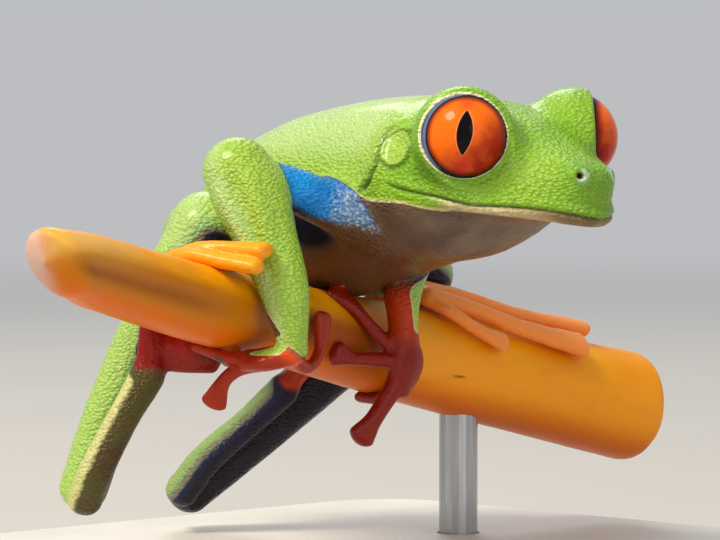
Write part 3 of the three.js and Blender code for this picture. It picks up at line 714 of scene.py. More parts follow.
def relief(p):
    """Millimetres to move each point of the skin along its normal."""
    gap, mouth = mouth_gap(p)
    h = mouth * ridges(gap, LIPS)
    ring, ahead = ear_gap(p)
    h += (np.abs(ahead) < 1.5) * (ridges(ring - EAR_R, EAR_RIM) - 0.05 * bell(ring, 0.8))
    fold, place = to_line(p, FOLD)
    strength = 0.35 + 0.65 * ramp(place, 0.15, 0.45)
    h += on_head(p) * strength * ridges(fold, FOLD_FORM)
    h += 0.13 * bell(to_line(p, RIDGE)[0], 0.55)
    h += ridges(mirrored_gap(p, NOSTRIL), NOSTRIL_FORM)
    h -= on_head(p) * 0.14 * bell(p[:, 2] - MOUTH_Z(p[:, 0]) - 0.85, 0.35) * ramp(p[:, 0], 6.2, 7.4)
    h += 0.02 * lumps(p, 1.1, 1) + 0.03 * lumps(p, 2.6, 2)
    h += SAG * blob(p, BELLY_SAG, SAG_SIZE)
    h += forearm_ridges(p)
    wrist = np.linalg.norm((p - [-10.6, -13.6, -12.6]) / [1.6, 1.6, 2.6], axis=1)
    h += 0.05 * ramp(wrist, 1.2, 0.4) * np.sin((p[:, 2] + 0.7 * p[:, 0]) * 2 * math.pi / WRIST_FOLD)
    return h


print("mouth corner", MOUTH_CORNER, "mm along X")

# %% Lift the skin
# The nostril moves to the nearest point of the skin, so that its hole has a point at its middle.
NOSTRIL = points[np.argmin(mirrored_gap(points, NOSTRIL))] * [1, 0, 1] + [0, NOSTRIL[1], 0]
normals = read_rows(skin.vertex_normals, "vector", 3)
q, ahead, off = eye_frame(points)
clear_of_lids = ramp(off, LID_OPEN + 0.3, LID_OPEN + 0.9)
bare = points
lift = relief(bare)
points = bare + normals * (lift * clear_of_lids)[:, None]
print("relief up to", round(float(np.abs(lift).max()), 2), "mm")

# %% [markdown]
# ## Markings, as measures on the skin
# The species is leaf green above, cream below, blue on the upper arms and flanks with cream
# bars, and orange on the hands and feet. Each colour gets an attribute. Where an edge must stay
# crisp, the attribute is a distance in millimetres, which the material turns into an edge. Some
# attributes paint light and shade instead: paler parts where light falls, redder and olive parts
# in shade, a shaded underside, an armpit shadow, and shaded lines, lips and nostrils.

# %% Where each colour lies
GREEN_Z = table([[-37.3, -10.5], [-35, -7.6], [-30, -5.1], [-24, -3.2], [-17, -2.1], [-14, -2.75],
                 [-11.8, -3.6], [-10.2, -4.3], [-9.1, -4.5], [-7, -4.5], [-4.2, -4.6], [-1.2, -5.1],
                 [0.6, -4.85], [2.7, -4.97], [5.2, -5.2], [7.1, -5.65], [7.8, -5.92]])
BELLY_Z = table([[-37.3, -12.2], [-30, -10.2], [-20, -8.4], [-12, -7.2], [-9.5, -5.2], [-7, -4.6],
                 [7.8, -6.5]])
GREEN_SIDE = {  # way and limit at the limb's start, then further on
    "forearm_right": ((0.6, -0.7, 0.4), -0.8, (1, 0.3, 0.1), 0.2),
    "forearm_left": ((0.1, 0.8, 0.6), -0.3, (0.6, 0.8, 0.3), 0.75),
    "thigh_right": ((-0.1, -0.3, 1), 0.25, (-0.3, -0.3, 1), -0.1),
    "thigh_left": ((-0.1, 0.3, 1), 0.25, (-0.1, 0.3, 1), 0.1),
    "shank_right": ((-0.45, -0.25, 0.85), -0.15, (-0.75, -0.65, 0.2), -0.25),
    "shank_left": ((-0.2, 0.5, 0.85), -0.1, (-0.6, 0.55, 0.6), -0.05),
    "tarsus_right": ((-0.6, -0.8, 0.1), 1.05, (-0.6, -0.8, 0.1), 1.05),
    "tarsus_left": ((-0.6, -0.45, 0.65), 0.4, (-0.6, -0.45, 0.65), 0.55),
}
NO_GREEN = ((0, 0, 1), 1.3, (0, 0, 1), 1.3)  # a limit above 1 is never reached
EDGE = {"tarsus": 0.5, "shank_left": 1.7, "shank_right": 1.2}
EDGE_USUAL = 2.0  # how fast the green ends; less is a wider pale edge
ORANGE = {"hand": 1.0, "foot": 1.0, "thigh": 0.3}
ORANGE_FROM = {"tarsus_right": (0.92, 1.15), "tarsus_left": (0.6, 0.95), "forearm_left": (0.5, 0.8)}
# Painted shade: how far each part's orange is painted a darker red, as where it lies in shade.
SHADED_RED_BY_PART = {"tarsus": 1.0, "forearm_left": 0.75, "hand_right": 0.85, "hand_left": 0.95}
BLUE = {"thigh": 0.9, "shank": 1.0, "tarsus_left": 0.9}
# Painted light: how pale each part is painted, as where light falls on it.
PAINTED_LIGHT = {"foot_left": 1.0, "shank_left": 0.95, "tarsus_left": 0.95}
PAINTED_LIGHT_USUAL = 0.5
STRAW = ("shank_left", "tarsus_left")
PALM_STRIPE = np.array([[-9.5, 13.9, -14.4], [-10.1, 14.4, -15.2], [-11.3, 15.1, -15.7],
                        [-12.6, 15.9, -15.9], [-13.8, 16.6, -15.8]])
NOWHERE = -9.0  # far from any green
print("limbs with green", sorted(GREEN_SIDE))

# %% How near each part is
SEAM = 0.22  # millimetres over which one part's colours give way


def by_part(values, name, other=0.0):
    """A limb part's own value, or else the one for its kind on both sides."""
    return values.get(name, values.get(name.rsplit("_", 1)[0], other))


def part_measures(p):
    """The distance to each part, the way out from it and the place along it, the body first."""
    rows = [(body_field(p), np.zeros((len(p), 3)), np.zeros(len(p)))]
    for shapes in LIMBS.values():
        best = np.full(len(p), FAR)
        out = np.zeros((len(p), 3))
        along = np.zeros(len(p))
        for s in shapes:
            d, o, a = sweep_field(p, s)
            closer = d < best
            best = np.where(closer, d, best)
            out[closer] = o[closer]
            along[closer] = a[closer]
        rows.append((best, out, along))
    return rows


parts = part_measures(bare)
gaps = np.array([part[0] for part in parts])
shares = np.exp(-(gaps - gaps.min(0)) / SEAM)
shares /= shares.sum(0)
print("share of the body", round(float(shares[0].mean()), 2))

# %% Colour of the body and limbs
def markings(p, parts, shares):
    """Attributes of the skin, worked out from the same parts as the field."""
    x, y, z = p.T
    body = shares[0]
    orange, deep, olive, vivid, straw = np.zeros((5, len(p)))
    green = body * (z - GREEN_Z(x))
    blue = body * ramp(x, -8.5, -11) * ramp(z, BELLY_Z(x) - 0.5, BELLY_Z(x) + 0.6)
    beads = body * blob(np.abs(p), [9.0, 7.0, 5.2], width=1.5)
    # Painted light: the back is painted paler higher up and further back, with a painted highlight on
    # the top of the snout.
    brow_highlight = 0.3 * blob(np.abs(p), [4.5, 3.4, 2.6], [2.2, 1.6, 1.4]) * (x > 0)
    pale = body * (0.15 + 0.85 * ramp(x, -3.5, -10.0) * ramp(z, -5.5, 0.5) + brow_highlight)
    # Painted shadow in the armpit, under the upper arm.
    dark = blob(p, [-14.2, -7.2, -6.8], [2.3, 1.8, 1.5])
    for here, (_, out, along), name in zip(shares[1:], parts[1:], LIMBS):
        kind = name.rsplit("_", 1)[0]
        first, first_edge, then, then_edge = GREEN_SIDE.get(name, NO_GREEN)
        turn = ramp(along, 0.42, 0.9) if kind == "forearm" else ramp(along, 0.1, 0.6)
        facing = (out @ unit(first)) * (1 - turn) + (out @ unit(then)) * turn
        rate = by_part(EDGE, name, EDGE_USUAL)
        green += here * (facing - first_edge * (1 - turn) - then_edge * turn) * rate
        tint = ramp(along, *ORANGE_FROM[name]) if name in ORANGE_FROM else by_part(ORANGE, name)
        shade = by_part(BLUE, name)
        light = by_part(PAINTED_LIGHT, name, PAINTED_LIGHT_USUAL)
        deep += here * by_part(SHADED_RED_BY_PART, name)
        straw += here * (name in STRAW)
        # Painted shade: the right tarsus's green is painted a shaded olive.
        if name == "tarsus_right":
            olive += here * (1 - tint)
        if kind == "forearm":
            shade = 1 - tint if name == "forearm_left" else ramp(out @ unit([0.55, 0.8, 0]), 0.1, 0.6)
            # Painted highlight along the outer ridge of the forearm.
            light = 0.62 + 0.38 * bell(round_forearm(out) + 46, 22)
        if kind == "upper_arm":
            limit = -0.1 - 0.65 * ramp(along, 0.1, 0.75)
            shade = ramp(out[:, 2], limit - 0.45, limit + 0.2)
            # Painted light: the top of the upper arm is painted a lit blue.
            vivid += here * ramp(out[:, 2], -0.9, -0.2)
            beads += here * ramp(along, 0.6, 0.2) * ramp(out[:, 2], limit - 0.6, limit)
        if name == "foot_right":
            # Painted shade: the right foot is painted a darker red low down, under the stem.
            deep += here * ramp(z, -10.2, -13.0)
        if name == "foot_left":
            # Painted shade: the left foot is painted a darker red nearer the body.
            deep += here * (0.04 + 0.7 * ramp(y, 8.5, 4.5))
        if kind == "thigh":
            # Painted light: the thigh is painted paler towards the knee.
            light = 0.6 + 0.35 * ramp(along, 0.5, 0.9)
        if name == "shank_right":
            # Painted light: the right shank is painted pale, most of all near the knee.
            light = 0.95 - 0.14 * ramp(along, 0.05, 0.3)
        orange += here * tint
        blue += here * shade
        pale += here * light
    stripe, stripe_at = to_line(p, PALM_STRIPE)
    stripe = np.where(y < 0, 0.62 - 0.3 * stripe_at - stripe, NOWHERE)
    palm = stripe * 2.5 - 0.9 * ramp(stripe_at, 0.3, 0.9)
    # Painted shade: the stripe on the right hand turns from green to a shaded olive.
    return {"green_mm": np.maximum(green, np.where(stripe_at < 0.95, palm, NOWHERE)),
            "orange": orange, "blue": blue, "beads": beads, "trunk": body, "pale": pale, "deep": deep,
            "olive": np.maximum(olive, 0.9 * ramp(stripe, -0.15, 0.1)), "dark": dark, "vivid": vivid,
            "straw": straw}


paint = markings(bare, parts, shares)
print("colours", sorted(paint))

# %% Fine marks, painted shade and highlights on the face and underside
gap, mouth = mouth_gap(bare)
fold, place = to_line(bare, FOLD)
ring, ear_ahead = ear_gap(bare)
by_ear = np.abs(ear_ahead) < 1
above_jaw = bare[:, 2] - JAW_Z(bare[:, 0])
NO_LID = 9.0  # millimetres off the eye's axis, beyond any lid
paint["lip"] = (mouth * ramp(-gap, -0.02, 0.1) * ramp(above_jaw, -0.3, 0.05)
                * ramp(points[:, 0], -1.8, 0.6))
# Painted shade in the mouth line, under the fold and round the eardrum.
paint["crease"] = np.maximum.reduce([mouth * bell(gap, 0.1),
                                     on_head(points) * bell(fold, 0.24) * ramp(place, 0.2, 0.4),
                                     0.6 * bell(ring - EAR_R - 0.07, 0.18) * by_ear])
paint["pale"] += 0.4 * ramp(ring, EAR_R, EAR_R - 0.3) * by_ear
thick = ramp(unit(q) @ unit([0.72, -0.6, -0.9]), -0.75, 0.25)
paint["lid_mm"] = np.where(ahead > 0, off + 0.16 * thick, NO_LID)
# Painted shade in the nostril's hole, and a painted highlight on the front side of its rim.
paint["nostril"] = bell(mirrored_gap(bare, NOSTRIL) / 1.15, 0.23)
paint["nostril_rim"] = (bell(mirrored_gap(bare, NOSTRIL + [0.1, -0.06, 0.04]) - 0.36, 0.17)
                        * ramp(bare[:, 0] - NOSTRIL[0], -0.12, 0.16))
# Painted shade on the downward faces of the trunk.
paint["belly"] = ramp(bare[:, 0], -1.0, -9.0) * ramp(normals[:, 2], -0.1, -0.7)
# Painted shade: the lip is painted darker towards the tip of the snout.
paint["chin"] = ramp(bare[:, 0], 2.6, 7.0)
# Painted shade under the head's downward faces, on the front of the snout and below and behind the eye
# domes.
below = 0.6 * ramp(-normals[:, 2], 0.0, 0.5) * ramp(gap, 0.3, 1.6)
snout = 0.45 * ramp(bare[:, 0], 5.8, 7.4) * ramp(normals[:, 0], 0.35, 0.95)
behind_lid = 0.34 * bell(off - 4.3, 0.75) * ramp(-q[:, 2], -0.3, 1.2) * (ahead > -0.5)
paint["shade"] = on_head(bare) * (below + snout) + behind_lid * on_head(bare)
print("markings", sorted(paint))

# %% Finish the skin object
def add_measure(mesh, name, values):
    """Keep one number for each point, for the material to read."""
    made = mesh.attributes.new(name, "FLOAT", "POINT")
    made.data.foreach_set("value", values.astype(np.float32))


skin.vertices.foreach_set("co", to_row(points).ravel())
for name, values in paint.items():
    add_measure(skin, name, values)
skin.shade_smooth()
skin.update()
frog = new_object("frog_skin", skin)
print("skin triangles", len(skin.polygons))

# %% [markdown]
# ## Materials: one helper
# Every finish is a small tree of shader nodes. One function adds a node of any kind, sets its
# properties and links or sets its inputs. A table gives short names to the kinds used most, and
# says in which order their inputs are given. Colours are sRGB hex text, turned linear when they
# are set. A finish is then painted as a modeller would: a first coat, and others over it, each
# with a mask that says where it shows.

# %% Node helper and colours
USUAL = {  # kind, inputs in order, output, settings
    "mix": ("ShaderNodeMix", (0, 6, 7), 2, {"data_type": "RGBA"}),
    "fade": ("ShaderNodeMapRange", (0, 1, 2), 0, {"interpolation_type": "SMOOTHSTEP"}),
    "noise": ("ShaderNodeTexNoise", ("Vector", "Scale", "Detail"), 0, {}),
    "cells": ("ShaderNodeTexVoronoi", ("Vector", "Scale"), 0, {}),
    "stretch": ("ShaderNodeMapping", ("Vector", "Scale"), 0, {}),
    "bump": ("ShaderNodeBump", ("Strength", "Distance", "Height", "Normal"), 0, {}),
    "place": ("ShaderNodeTexCoord", (), "Object", {}),
    "measure": ("ShaderNodeAttribute", (), "Fac", {}),
}
for operation in ("ADD", "SUBTRACT", "MULTIPLY", "DIVIDE", "MULTIPLY_ADD", "ABSOLUTE", "POWER", "SQRT",
                  "MAXIMUM"):
    USUAL[operation] = ("ShaderNodeMath", (0, 1, 2), 0, {"operation": operation})


def linear(code):
    """An sRGB hex colour as linear RGBA."""
    parts = [int(code[i:i + 2], 16) / 255 for i in (1, 3, 5)]
    return tuple(c / 12.92 if c <= 0.04045 else ((c + 0.055) / 1.055) ** 2.4 for c in parts) + (1.0,)


def fill(made, inputs):
    """Link or set a node's inputs, given by name or number. Text is a colour."""
    for key, value in inputs.items():
        if isinstance(value, bpy.types.NodeSocket):
            made.id_data.links.new(value, made.inputs[key])
        else:
            made.inputs[key].default_value = linear(value) if isinstance(value, str) else value


def add(tree, kind, *given, out=0, **settings):
    """Add a node and give back one output. Its inputs come in USUAL's order, or as one dict."""
    kind, order, out, usual = USUAL.get(kind, (kind, (), out, {}))
    made = tree.nodes.new(kind)
    for name, value in {**usual, **settings}.items():
        setattr(made, name, value)
    fill(made, given[0] if given and isinstance(given[0], dict) else dict(zip(order, given)))
    return made.outputs[out]


def finish_of(name):
    """A new material, the function that adds a node to it, and its shader."""
    made = bpy.data.materials.new(name)
    made.use_nodes = True
    return made, partial(add, made.node_tree), made.node_tree.nodes["Principled BSDF"]


def coats(node, under, *over):
    """Lay coats of colour over a first one. Each is a mask from 0 to 1 and a colour."""
    for mask, colour in over:
        under = node("mix", mask, under, colour)
    return under


print("leaf green is", [round(c, 3) for c in linear("#84ba1e")])

# %% [markdown]
# ## Frog skin
# Living frog skin is moist and finely granular: low rounded grains about a quarter of a
# millimetre across, each with its own small glint. Voronoi cells give the grains as bump, a
# thin clear coat gives the wet look, and a little subsurface light softens it. The colours are
# mixed in the order a painter would lay them: cream, orange, blue, green, then the fine lines.
# Many of these coats are painted light and shade: paler where light falls, and darker between
# the grains, in the lines, underneath and in the armpit.

# %% Measures and textures of the skin
GRAIN = 0.26  # millimetres across one grain
BAR = 3.6  # millimetres from one flank bar to the next
WAVE = 0.314  # a wave texture's scale for one band in each unit


def skin_sources(node):
    """The measures on the skin and the textures that break them up, by name."""
    spot = node("place")
    rows = node("stretch", spot, (0.85, 0.85, 1.2))
    grains = {"Vector": rows, "Scale": PER_MM / GRAIN, "Smoothness": 0.25}
    bars = {"Vector": spot, "Scale": PER_MM / BAR * WAVE, "Distortion": 1.6, "Detail": 1.0,
            "Detail Scale": 1.0}
    return SimpleNamespace(
        **{name: node("measure", attribute_name=name) for name in paint},
        grains=node("ShaderNodeTexVoronoi", grains, feature="SMOOTH_F1"),
        cells=node("cells", spot, PER_MM / GRAIN),
        bars=node("ShaderNodeTexWave", bars, out="Fac", bands_direction="X"),
        crumple=node("noise", spot, PER_MM / 0.42, 3.0),
        cloud=node("noise", spot, PER_MM / 3.5, 3.0),
        speck=node("noise", spot, PER_MM / 0.7, 2.0))


print("grains", GRAIN, "mm, flank bars", BAR, "mm")

# %% Colours under the green
def under_green(node, on):
    """Cream, orange, olive and blue, with the beads on the arms and the bars on the flanks. The
    underside's colour and the olive are painted as in shade, the orange is painted redder in shade and
    paler in light, the blue has painted lit and shaded copies, and the armpit has a painted shadow.
    """
    # Painted shade: the pale underside is painted a dull brown, darker still on its downward faces.
    shaded_cream = coats(node, "#786350",
                  (node("fade", on.cloud, 0.35, 0.7), "#564236"),
                  (node("fade", on.belly, 0.0, 1.0), "#5f3d26"))
    # A random mottle of darker orange, which the painted shade turns a darker red.
    mottle_and_shade = coats(node, "#ee640e", (node("fade", on.deep, 0.3, 0.8), "#9a1a06"))
    # Painted light: a pale salmon where the orange is painted as lit and not in shade.
    painted_light_salmon = node("MULTIPLY", node("fade", on.pale, 0.6, 1.0), node("fade", on.deep, 0.6, 0.25))
    warm = coats(node, "#ffa41c",
                 # Painted shade: redder, darker orange where the part is painted as in shade.
                 (node("fade", on.deep, 0.0, 0.5), "#f0540c"),
                 (node("fade", on.deep, 0.5, 1.0), "#820a00"),
                 (node("MULTIPLY", node("fade", on.cloud, 0.45, 0.7), 0.4), mottle_and_shade),
                 (node("MULTIPLY", painted_light_salmon, 0.95), "#ff9440"))
    # Painted shade: olive is the green of a part in shade.
    olive = coats(node, "#4e4a14", (node("fade", on.cloud, 0.35, 0.65), "#4a3210"))
    # Painted light and shade: a lit blue for the tops of the upper arms, and a near-black blue for the
    # shaded sides of the limbs.
    lit_blue = coats(node, "#008ee2", (node("fade", on.cloud, 0.38, 0.66), "#0474cc"))
    shaded_blue = coats(node, "#12082a",
                (node("fade", on.cloud, 0.35, 0.65), "#050210"),
                (node("fade", on.trunk, 0.4, 0.9), "#17469a"),
                (node("fade", on.vivid, 0.05, 0.7), lit_blue),
                (node("MULTIPLY", node("fade", on.beads, 0.35, 0.95), 0.75), "#667c98"))
    dots = node("MULTIPLY", node("fade", on.cells, 0.55, 0.3), node("fade", on.beads, 0.15, 0.9))
    bar = node("MULTIPLY", node("fade", on.bars, 0.72, 0.9),
               node("MULTIPLY", node("fade", on.blue, 0.3, 0.6), node("fade", on.dark, 0.12, 0.02)))
    return coats(node, shaded_cream,
                 (node("fade", on.orange, 0.1, 0.75), warm),
                 (node("fade", on.olive, 0.2, 0.7), olive),
                 (node("fade", on.blue, 0.15, 0.7), shaded_blue),
                 (node("MULTIPLY", dots, 0.6), "#b2c2d2"),
                 (node("MULTIPLY", bar, node("fade", on.trunk, 0.6, 0.95)), "#efe2b4"),
                 # Painted shadow in the armpit.
                 (node("fade", on.dark, 0.15, 0.6), "#0b0b1c"))

print("the colours under the green are ready")

# %% The green and its edge
def green_over(node, on, base):
    """Leaf green over the other colours, with a ragged pale edge that turns blue on the limbs. It is
    painted paler where light falls, and painted shade darkens it under the head, round the eyes and
    between the grains.
    """
    ragged = node("MULTIPLY_ADD", node("SUBTRACT", on.speck, 0.5), 0.16, on.green_mm)
    on_blue = node("fade", on.blue, 0.3, 0.8)
    teal = node("MULTIPLY", node("fade", ragged, 0.6, 0.05),
                node("MULTIPLY", on_blue, node("fade", on.trunk, 0.9, 0.3)))
    # Painted shade between the grains, less of it where the skin is painted pale.
    crevice_shade = node("MULTIPLY_ADD", node("fade", on.pale, 0.5, 1.0), -0.28, 0.44)
    leaf = coats(node, "#84ba1e",
                 (node("fade", on.cloud, 0.32, 0.68), "#9acb30"),
                 # Painted light: paler greens where the skin is painted as lit.
                 (node("fade", on.pale, 0.1, 0.6), "#aed450"),
                 (node("fade", on.pale, 0.6, 1.0), "#b4d67e"),
                 (node("MULTIPLY", on.straw, 0.45), "#b09a44"),
                 (on.shade, "#507a0c"),
                 (node("MULTIPLY", teal, 0.45), "#4b9c74"),
                 (node("MULTIPLY", node("fade", on.grains, 0.3, 0.6), crevice_shade), "#5d8f14"))
    rim = coats(node, "#d2cf8e",
                (node("MULTIPLY", node("fade", ragged, -0.3, -0.5), on_blue), "#2f7480"))
    edge = coats(node, base, (node("fade", ragged, -0.3, -0.14), rim))
    outer = coats(node, edge, (0.7, "#14204a"))
    return coats(node, edge,
                 (node("MULTIPLY", node("fade", ragged, -0.6, -0.3), on_blue), outer),
                 (node("fade", ragged, -0.14, 0.1), leaf))

print("the green is ready to lay over them")

# %% Fine lines over all
def face_lines(node, on, base):
    """The lips, the lids' margins, the lines of the mouth, fold and eardrum, and the nostrils. The
    lines, the nostrils' holes, the inner edge of the lids and the front of the lips are painted shade,
    and the nostrils' rims carry a painted highlight.
    """
    # Painted shade: a browner lip towards the tip of the snout.
    shaded_lip = coats(node, "#a5925f", (node("fade", on.cloud, 0.35, 0.6), "#7c6440"))
    rind = coats(node, "#d8cc9a", (node("fade", on.speck, 0.4, 0.65), "#c0ad78"))
    return coats(node, base,
                 (on.lip, coats(node, rind, (on.chin, shaded_lip))),
                 (node("fade", on.lid_mm, LID_OPEN + 0.3, LID_OPEN + 0.22), "#f0edc6"),
                 # Painted shade: a blackish line where the lid meets the eye.
                 (node("fade", on.lid_mm, LID_OPEN + 0.06, LID_OPEN), "#1c2633"),
                 # Painted highlight on the front side of the nostril's rim.
                 (node("MULTIPLY", on.nostril_rim, 0.8), "#c4e2d4"),
                 # Painted shade in the mouth line, the fold and round the eardrum.
                 (node("MULTIPLY", on.crease, 0.85), "#24350c"),
                 # Painted shade in the nostril's hole.
                 (node("fade", on.nostril, 0.25, 0.6), "#6b4426"),
                 (node("fade", on.nostril, 0.5, 0.85), "#150f0a"))

print("the face's lines come last")

# %% Moist granular skin
def moist_skin():
    """The grains are highest on the green and lowest on the throat; the digits crumple instead."""
    made, node, shader = finish_of("moist_granular_skin")
    on = skin_sources(node)
    base = face_lines(node, on, green_over(node, on, under_green(node, on)))
    # The painted armpit shadow is also given less gloss and grain.
    lit = node("fade", on.dark, 0.4, 0.05)
    slack = node("MULTIPLY", on.trunk, node("fade", on.green_mm, -0.3, -1.2))
    height = node("MULTIPLY", node("SUBTRACT", 1.0, on.grains),
                  node("MULTIPLY", node("fade", on.orange, 1.3, 0.2), lit))
    height = node("MULTIPLY", height, node("MULTIPLY_ADD", slack, -0.65, 1.0))
    grain = node("bump", 1.0, 0.16 * MM, height)
    crumpled = node("MULTIPLY", on.crumple, node("fade", on.orange, 0.4, 1.0))
    folds = node("bump", 0.5, 0.14 * MM, crumpled, grain)
    matt = node("MULTIPLY_ADD", node("SUBTRACT", 1.0, lit), 0.5, 0.26)
    wet = node("MULTIPLY_ADD", node("fade", on.green_mm, -0.1, 0.3), 0.18, 0.15)
    fill(shader, {"Base Color": base, "Normal": node("bump", 0.3, 0.06 * MM, on.speck, folds),
                  "Roughness": node("MULTIPLY_ADD", on.speck, 0.2, matt), "IOR": 1.4,
                  "Coat Weight": node("MULTIPLY", lit, wet), "Coat Roughness": 0.14,
                  "Specular IOR Level": 0.35, "Subsurface Weight": 0.12,
                  "Subsurface Radius": (1.0, 0.8, 0.35), "Subsurface Scale": 0.6 * MM})
    return made


frog.data.materials.append(moist_skin())
FLESH = [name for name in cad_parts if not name.startswith(("eye", "perch", "stand"))]
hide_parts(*FLESH)
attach(frog, "root")
print("skin replaces", len(FLESH), "nodes")

# %% [markdown]
# ## Eyes
# The iris is a glossy orange-red disc with a fine dark rim, and the pupil is an upright
# spindle. A ball with rings centred on the eye's axis keeps both crisp: each point carries its
# place across and up the iris in millimetres, so the pattern can't slide.

# %% Eyeballs
RINGS = 56
SPOKES = 96
EYE_MARKS = ("iris_across", "iris_up", "iris_ahead")


def eyeball(side):
    """A ball whose rings run round the optic axis, and its iris measures."""
    flip = np.array([1, side, 1])
    axis = EYE_AXIS * flip
    centre = EYE_CENTRE * flip + axis * BALL_AHEAD
    across = unit(np.cross([0, 0, 1], axis)) * -side
    upright = unit(np.cross(axis, across) * (1 if np.cross(axis, across)[2] > 0 else -1))
    points = [centre + axis * BALL_R]
    for k in range(1, RINGS):
        w = math.pi * (k / RINGS)
        for j in range(SPOKES):
            turn = 2 * math.pi * j / SPOKES
            out = across * math.cos(turn) + upright * math.sin(turn)
            points.append(centre + BALL_R * (axis * math.cos(w) + out * math.sin(w)))
    points.append(centre - axis * BALL_R)
    last = 1 + (RINGS - 2) * SPOKES
    faces = []
    for j in range(SPOKES):
        n = (j + 1) % SPOKES
        faces.append((0, 1 + j, 1 + n))
        for a in range(1, last, SPOKES):
            faces.append((a + j, a + SPOKES + j, a + SPOKES + n, a + n))
        faces.append((last + j, len(points) - 1, last + n))
    mesh = bpy.data.meshes.new("eyeball")
    points = np.array(points)
    mesh.from_pydata(to_row(points).tolist(), [], faces)
    tidy = bmesh.new()
    tidy.from_mesh(mesh)
    bmesh.ops.recalc_face_normals(tidy, faces=tidy.faces)
    tidy.to_mesh(mesh)
    tidy.free()
    for name, way in zip(EYE_MARKS, (across, upright, axis)):
        add_measure(mesh, name, (points - centre) @ way)
    mesh.shade_smooth()
    return mesh


print("eyeball", 2 * BALL_R, "mm across")

# %% Iris and pupil
IRIS_R = 2.76  # millimetres, a little less than the lids' opening
PUPIL_UP = 0.2  # how far the pupil's middle lies above the axis
PUPIL_HALF = 1.62  # half its height
BLACK = "#0b0a0c"


def wet_eye():
    """Dark red low and ahead, orange high and behind, as painted shade and light, with a pale line
    round a black pupil.
    """
    made, node, shader = finish_of("wet_orange_red_iris")
    across, up, ahead = [node("measure", attribute_name=name) for name in EYE_MARKS]
    spot = node("place")
    cloud = node("noise", spot, PER_MM / 1.3, 5.0)
    fibre = node("noise", spot, PER_MM / 0.35, 3.0)
    beside = node("SUBTRACT", across, 0.13)
    off = node("SQRT", node("ADD", node("MULTIPLY", beside, beside), node("MULTIPLY", up, up)))
    above = node("SUBTRACT", up, PUPIL_UP)
    aside = node("ABSOLUTE", node("MULTIPLY_ADD", above, -0.11, across))
    height = node("DIVIDE", above, PUPIL_HALF)
    end = node("ABSOLUTE", height)
    taper = node("MAXIMUM", node("SUBTRACT", 1.0, node("MULTIPLY", height, height)), 0.0)
    half = node("MULTIPLY_ADD", node("POWER", taper, 0.85), 0.6, -0.04)
    outside = node("SUBTRACT", aside, half)
    ends = node("MULTIPLY", node("fade", aside, 0.9, 0.1), node("fade", end, 0.9, 1.15))
    line = node("MULTIPLY", node("fade", outside, 0.09, 0.03), node("fade", end, 1.03, 0.95))
    # A blue-grey band on one side of the dark ring round the iris.
    blue_grey_side = node("fade", node("MULTIPLY_ADD", up, -0.35, across), -0.7, -1.6)
    band = coats(node, BLACK, (node("fade", off, IRIS_R + 0.07, IRIS_R + 0.14),
                               coats(node, BLACK, (blue_grey_side, "#5d719c"))))
    iris = coats(node, "#a00e00",
                 # Painted shade and light: redder low and ahead, more orange high and behind.
                 (node("fade", node("MULTIPLY_ADD", across, -0.75, up), -2.9, 1.3), "#ff700c"),
                 (node("MULTIPLY", node("fade", cloud, 0.4, 0.7), 0.3), "#ff7c26"),
                 (node("MULTIPLY", node("fade", fibre, 0.5, 0.75), 0.25), "#a81a04"),
                 (node("MULTIPLY", ends, 0.4), "#e42c24"),
                 (node("fade", off, IRIS_R - 0.45, IRIS_R + 0.05), "#6a0802"),
                 (node("MULTIPLY", line, 0.8), "#f59a66"),
                 (node("fade", outside, 0.03, -0.02), "#050304"),
                 (node("fade", off, IRIS_R - 0.03, IRIS_R + 0.03), band),
                 (node("fade", ahead, 1.0, 0.9), BLACK))
    fill(shader, {"Base Color": iris, "Normal": node("bump", 0.05, 0.05 * MM, fibre), "Roughness": 0.3,
                  "IOR": 1.38, "Specular IOR Level": 0.08, "Coat Weight": 0.34, "Coat Roughness": 0.03,
                  "Coat IOR": 1.38})
    return made


IRIS = wet_eye()
for label, side in (("right", -1), ("left", 1)):
    ball = new_object(f"eyeball_{label}", eyeball(side))
    ball.data.materials.append(IRIS)
    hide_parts(f"eye_{label}")
    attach(ball, "root")
    print(ball.name, len(ball.data.polygons), "faces")

# %% [markdown]
# ## The stem, by Geometry Nodes
# A stem follows a path, which is what Geometry Nodes do best: the tree samples the line more
# finely, carries a circle along it at each point's own radius, and lifts shallow ribs that run
# lengthwise. The line, with its radii, is the same one that the CAD stem is swept on.

# %% Stem tree
STEM_INPUTS = (("Geometry", "Geometry", None), ("Sides", "Int", 96), ("Rings", "Int", 260),
               ("Rib Height", "Float", 0.06 * MM), ("Rib Spacing", "Float", 0.9 * MM),
               ("Finish", "Material", None))


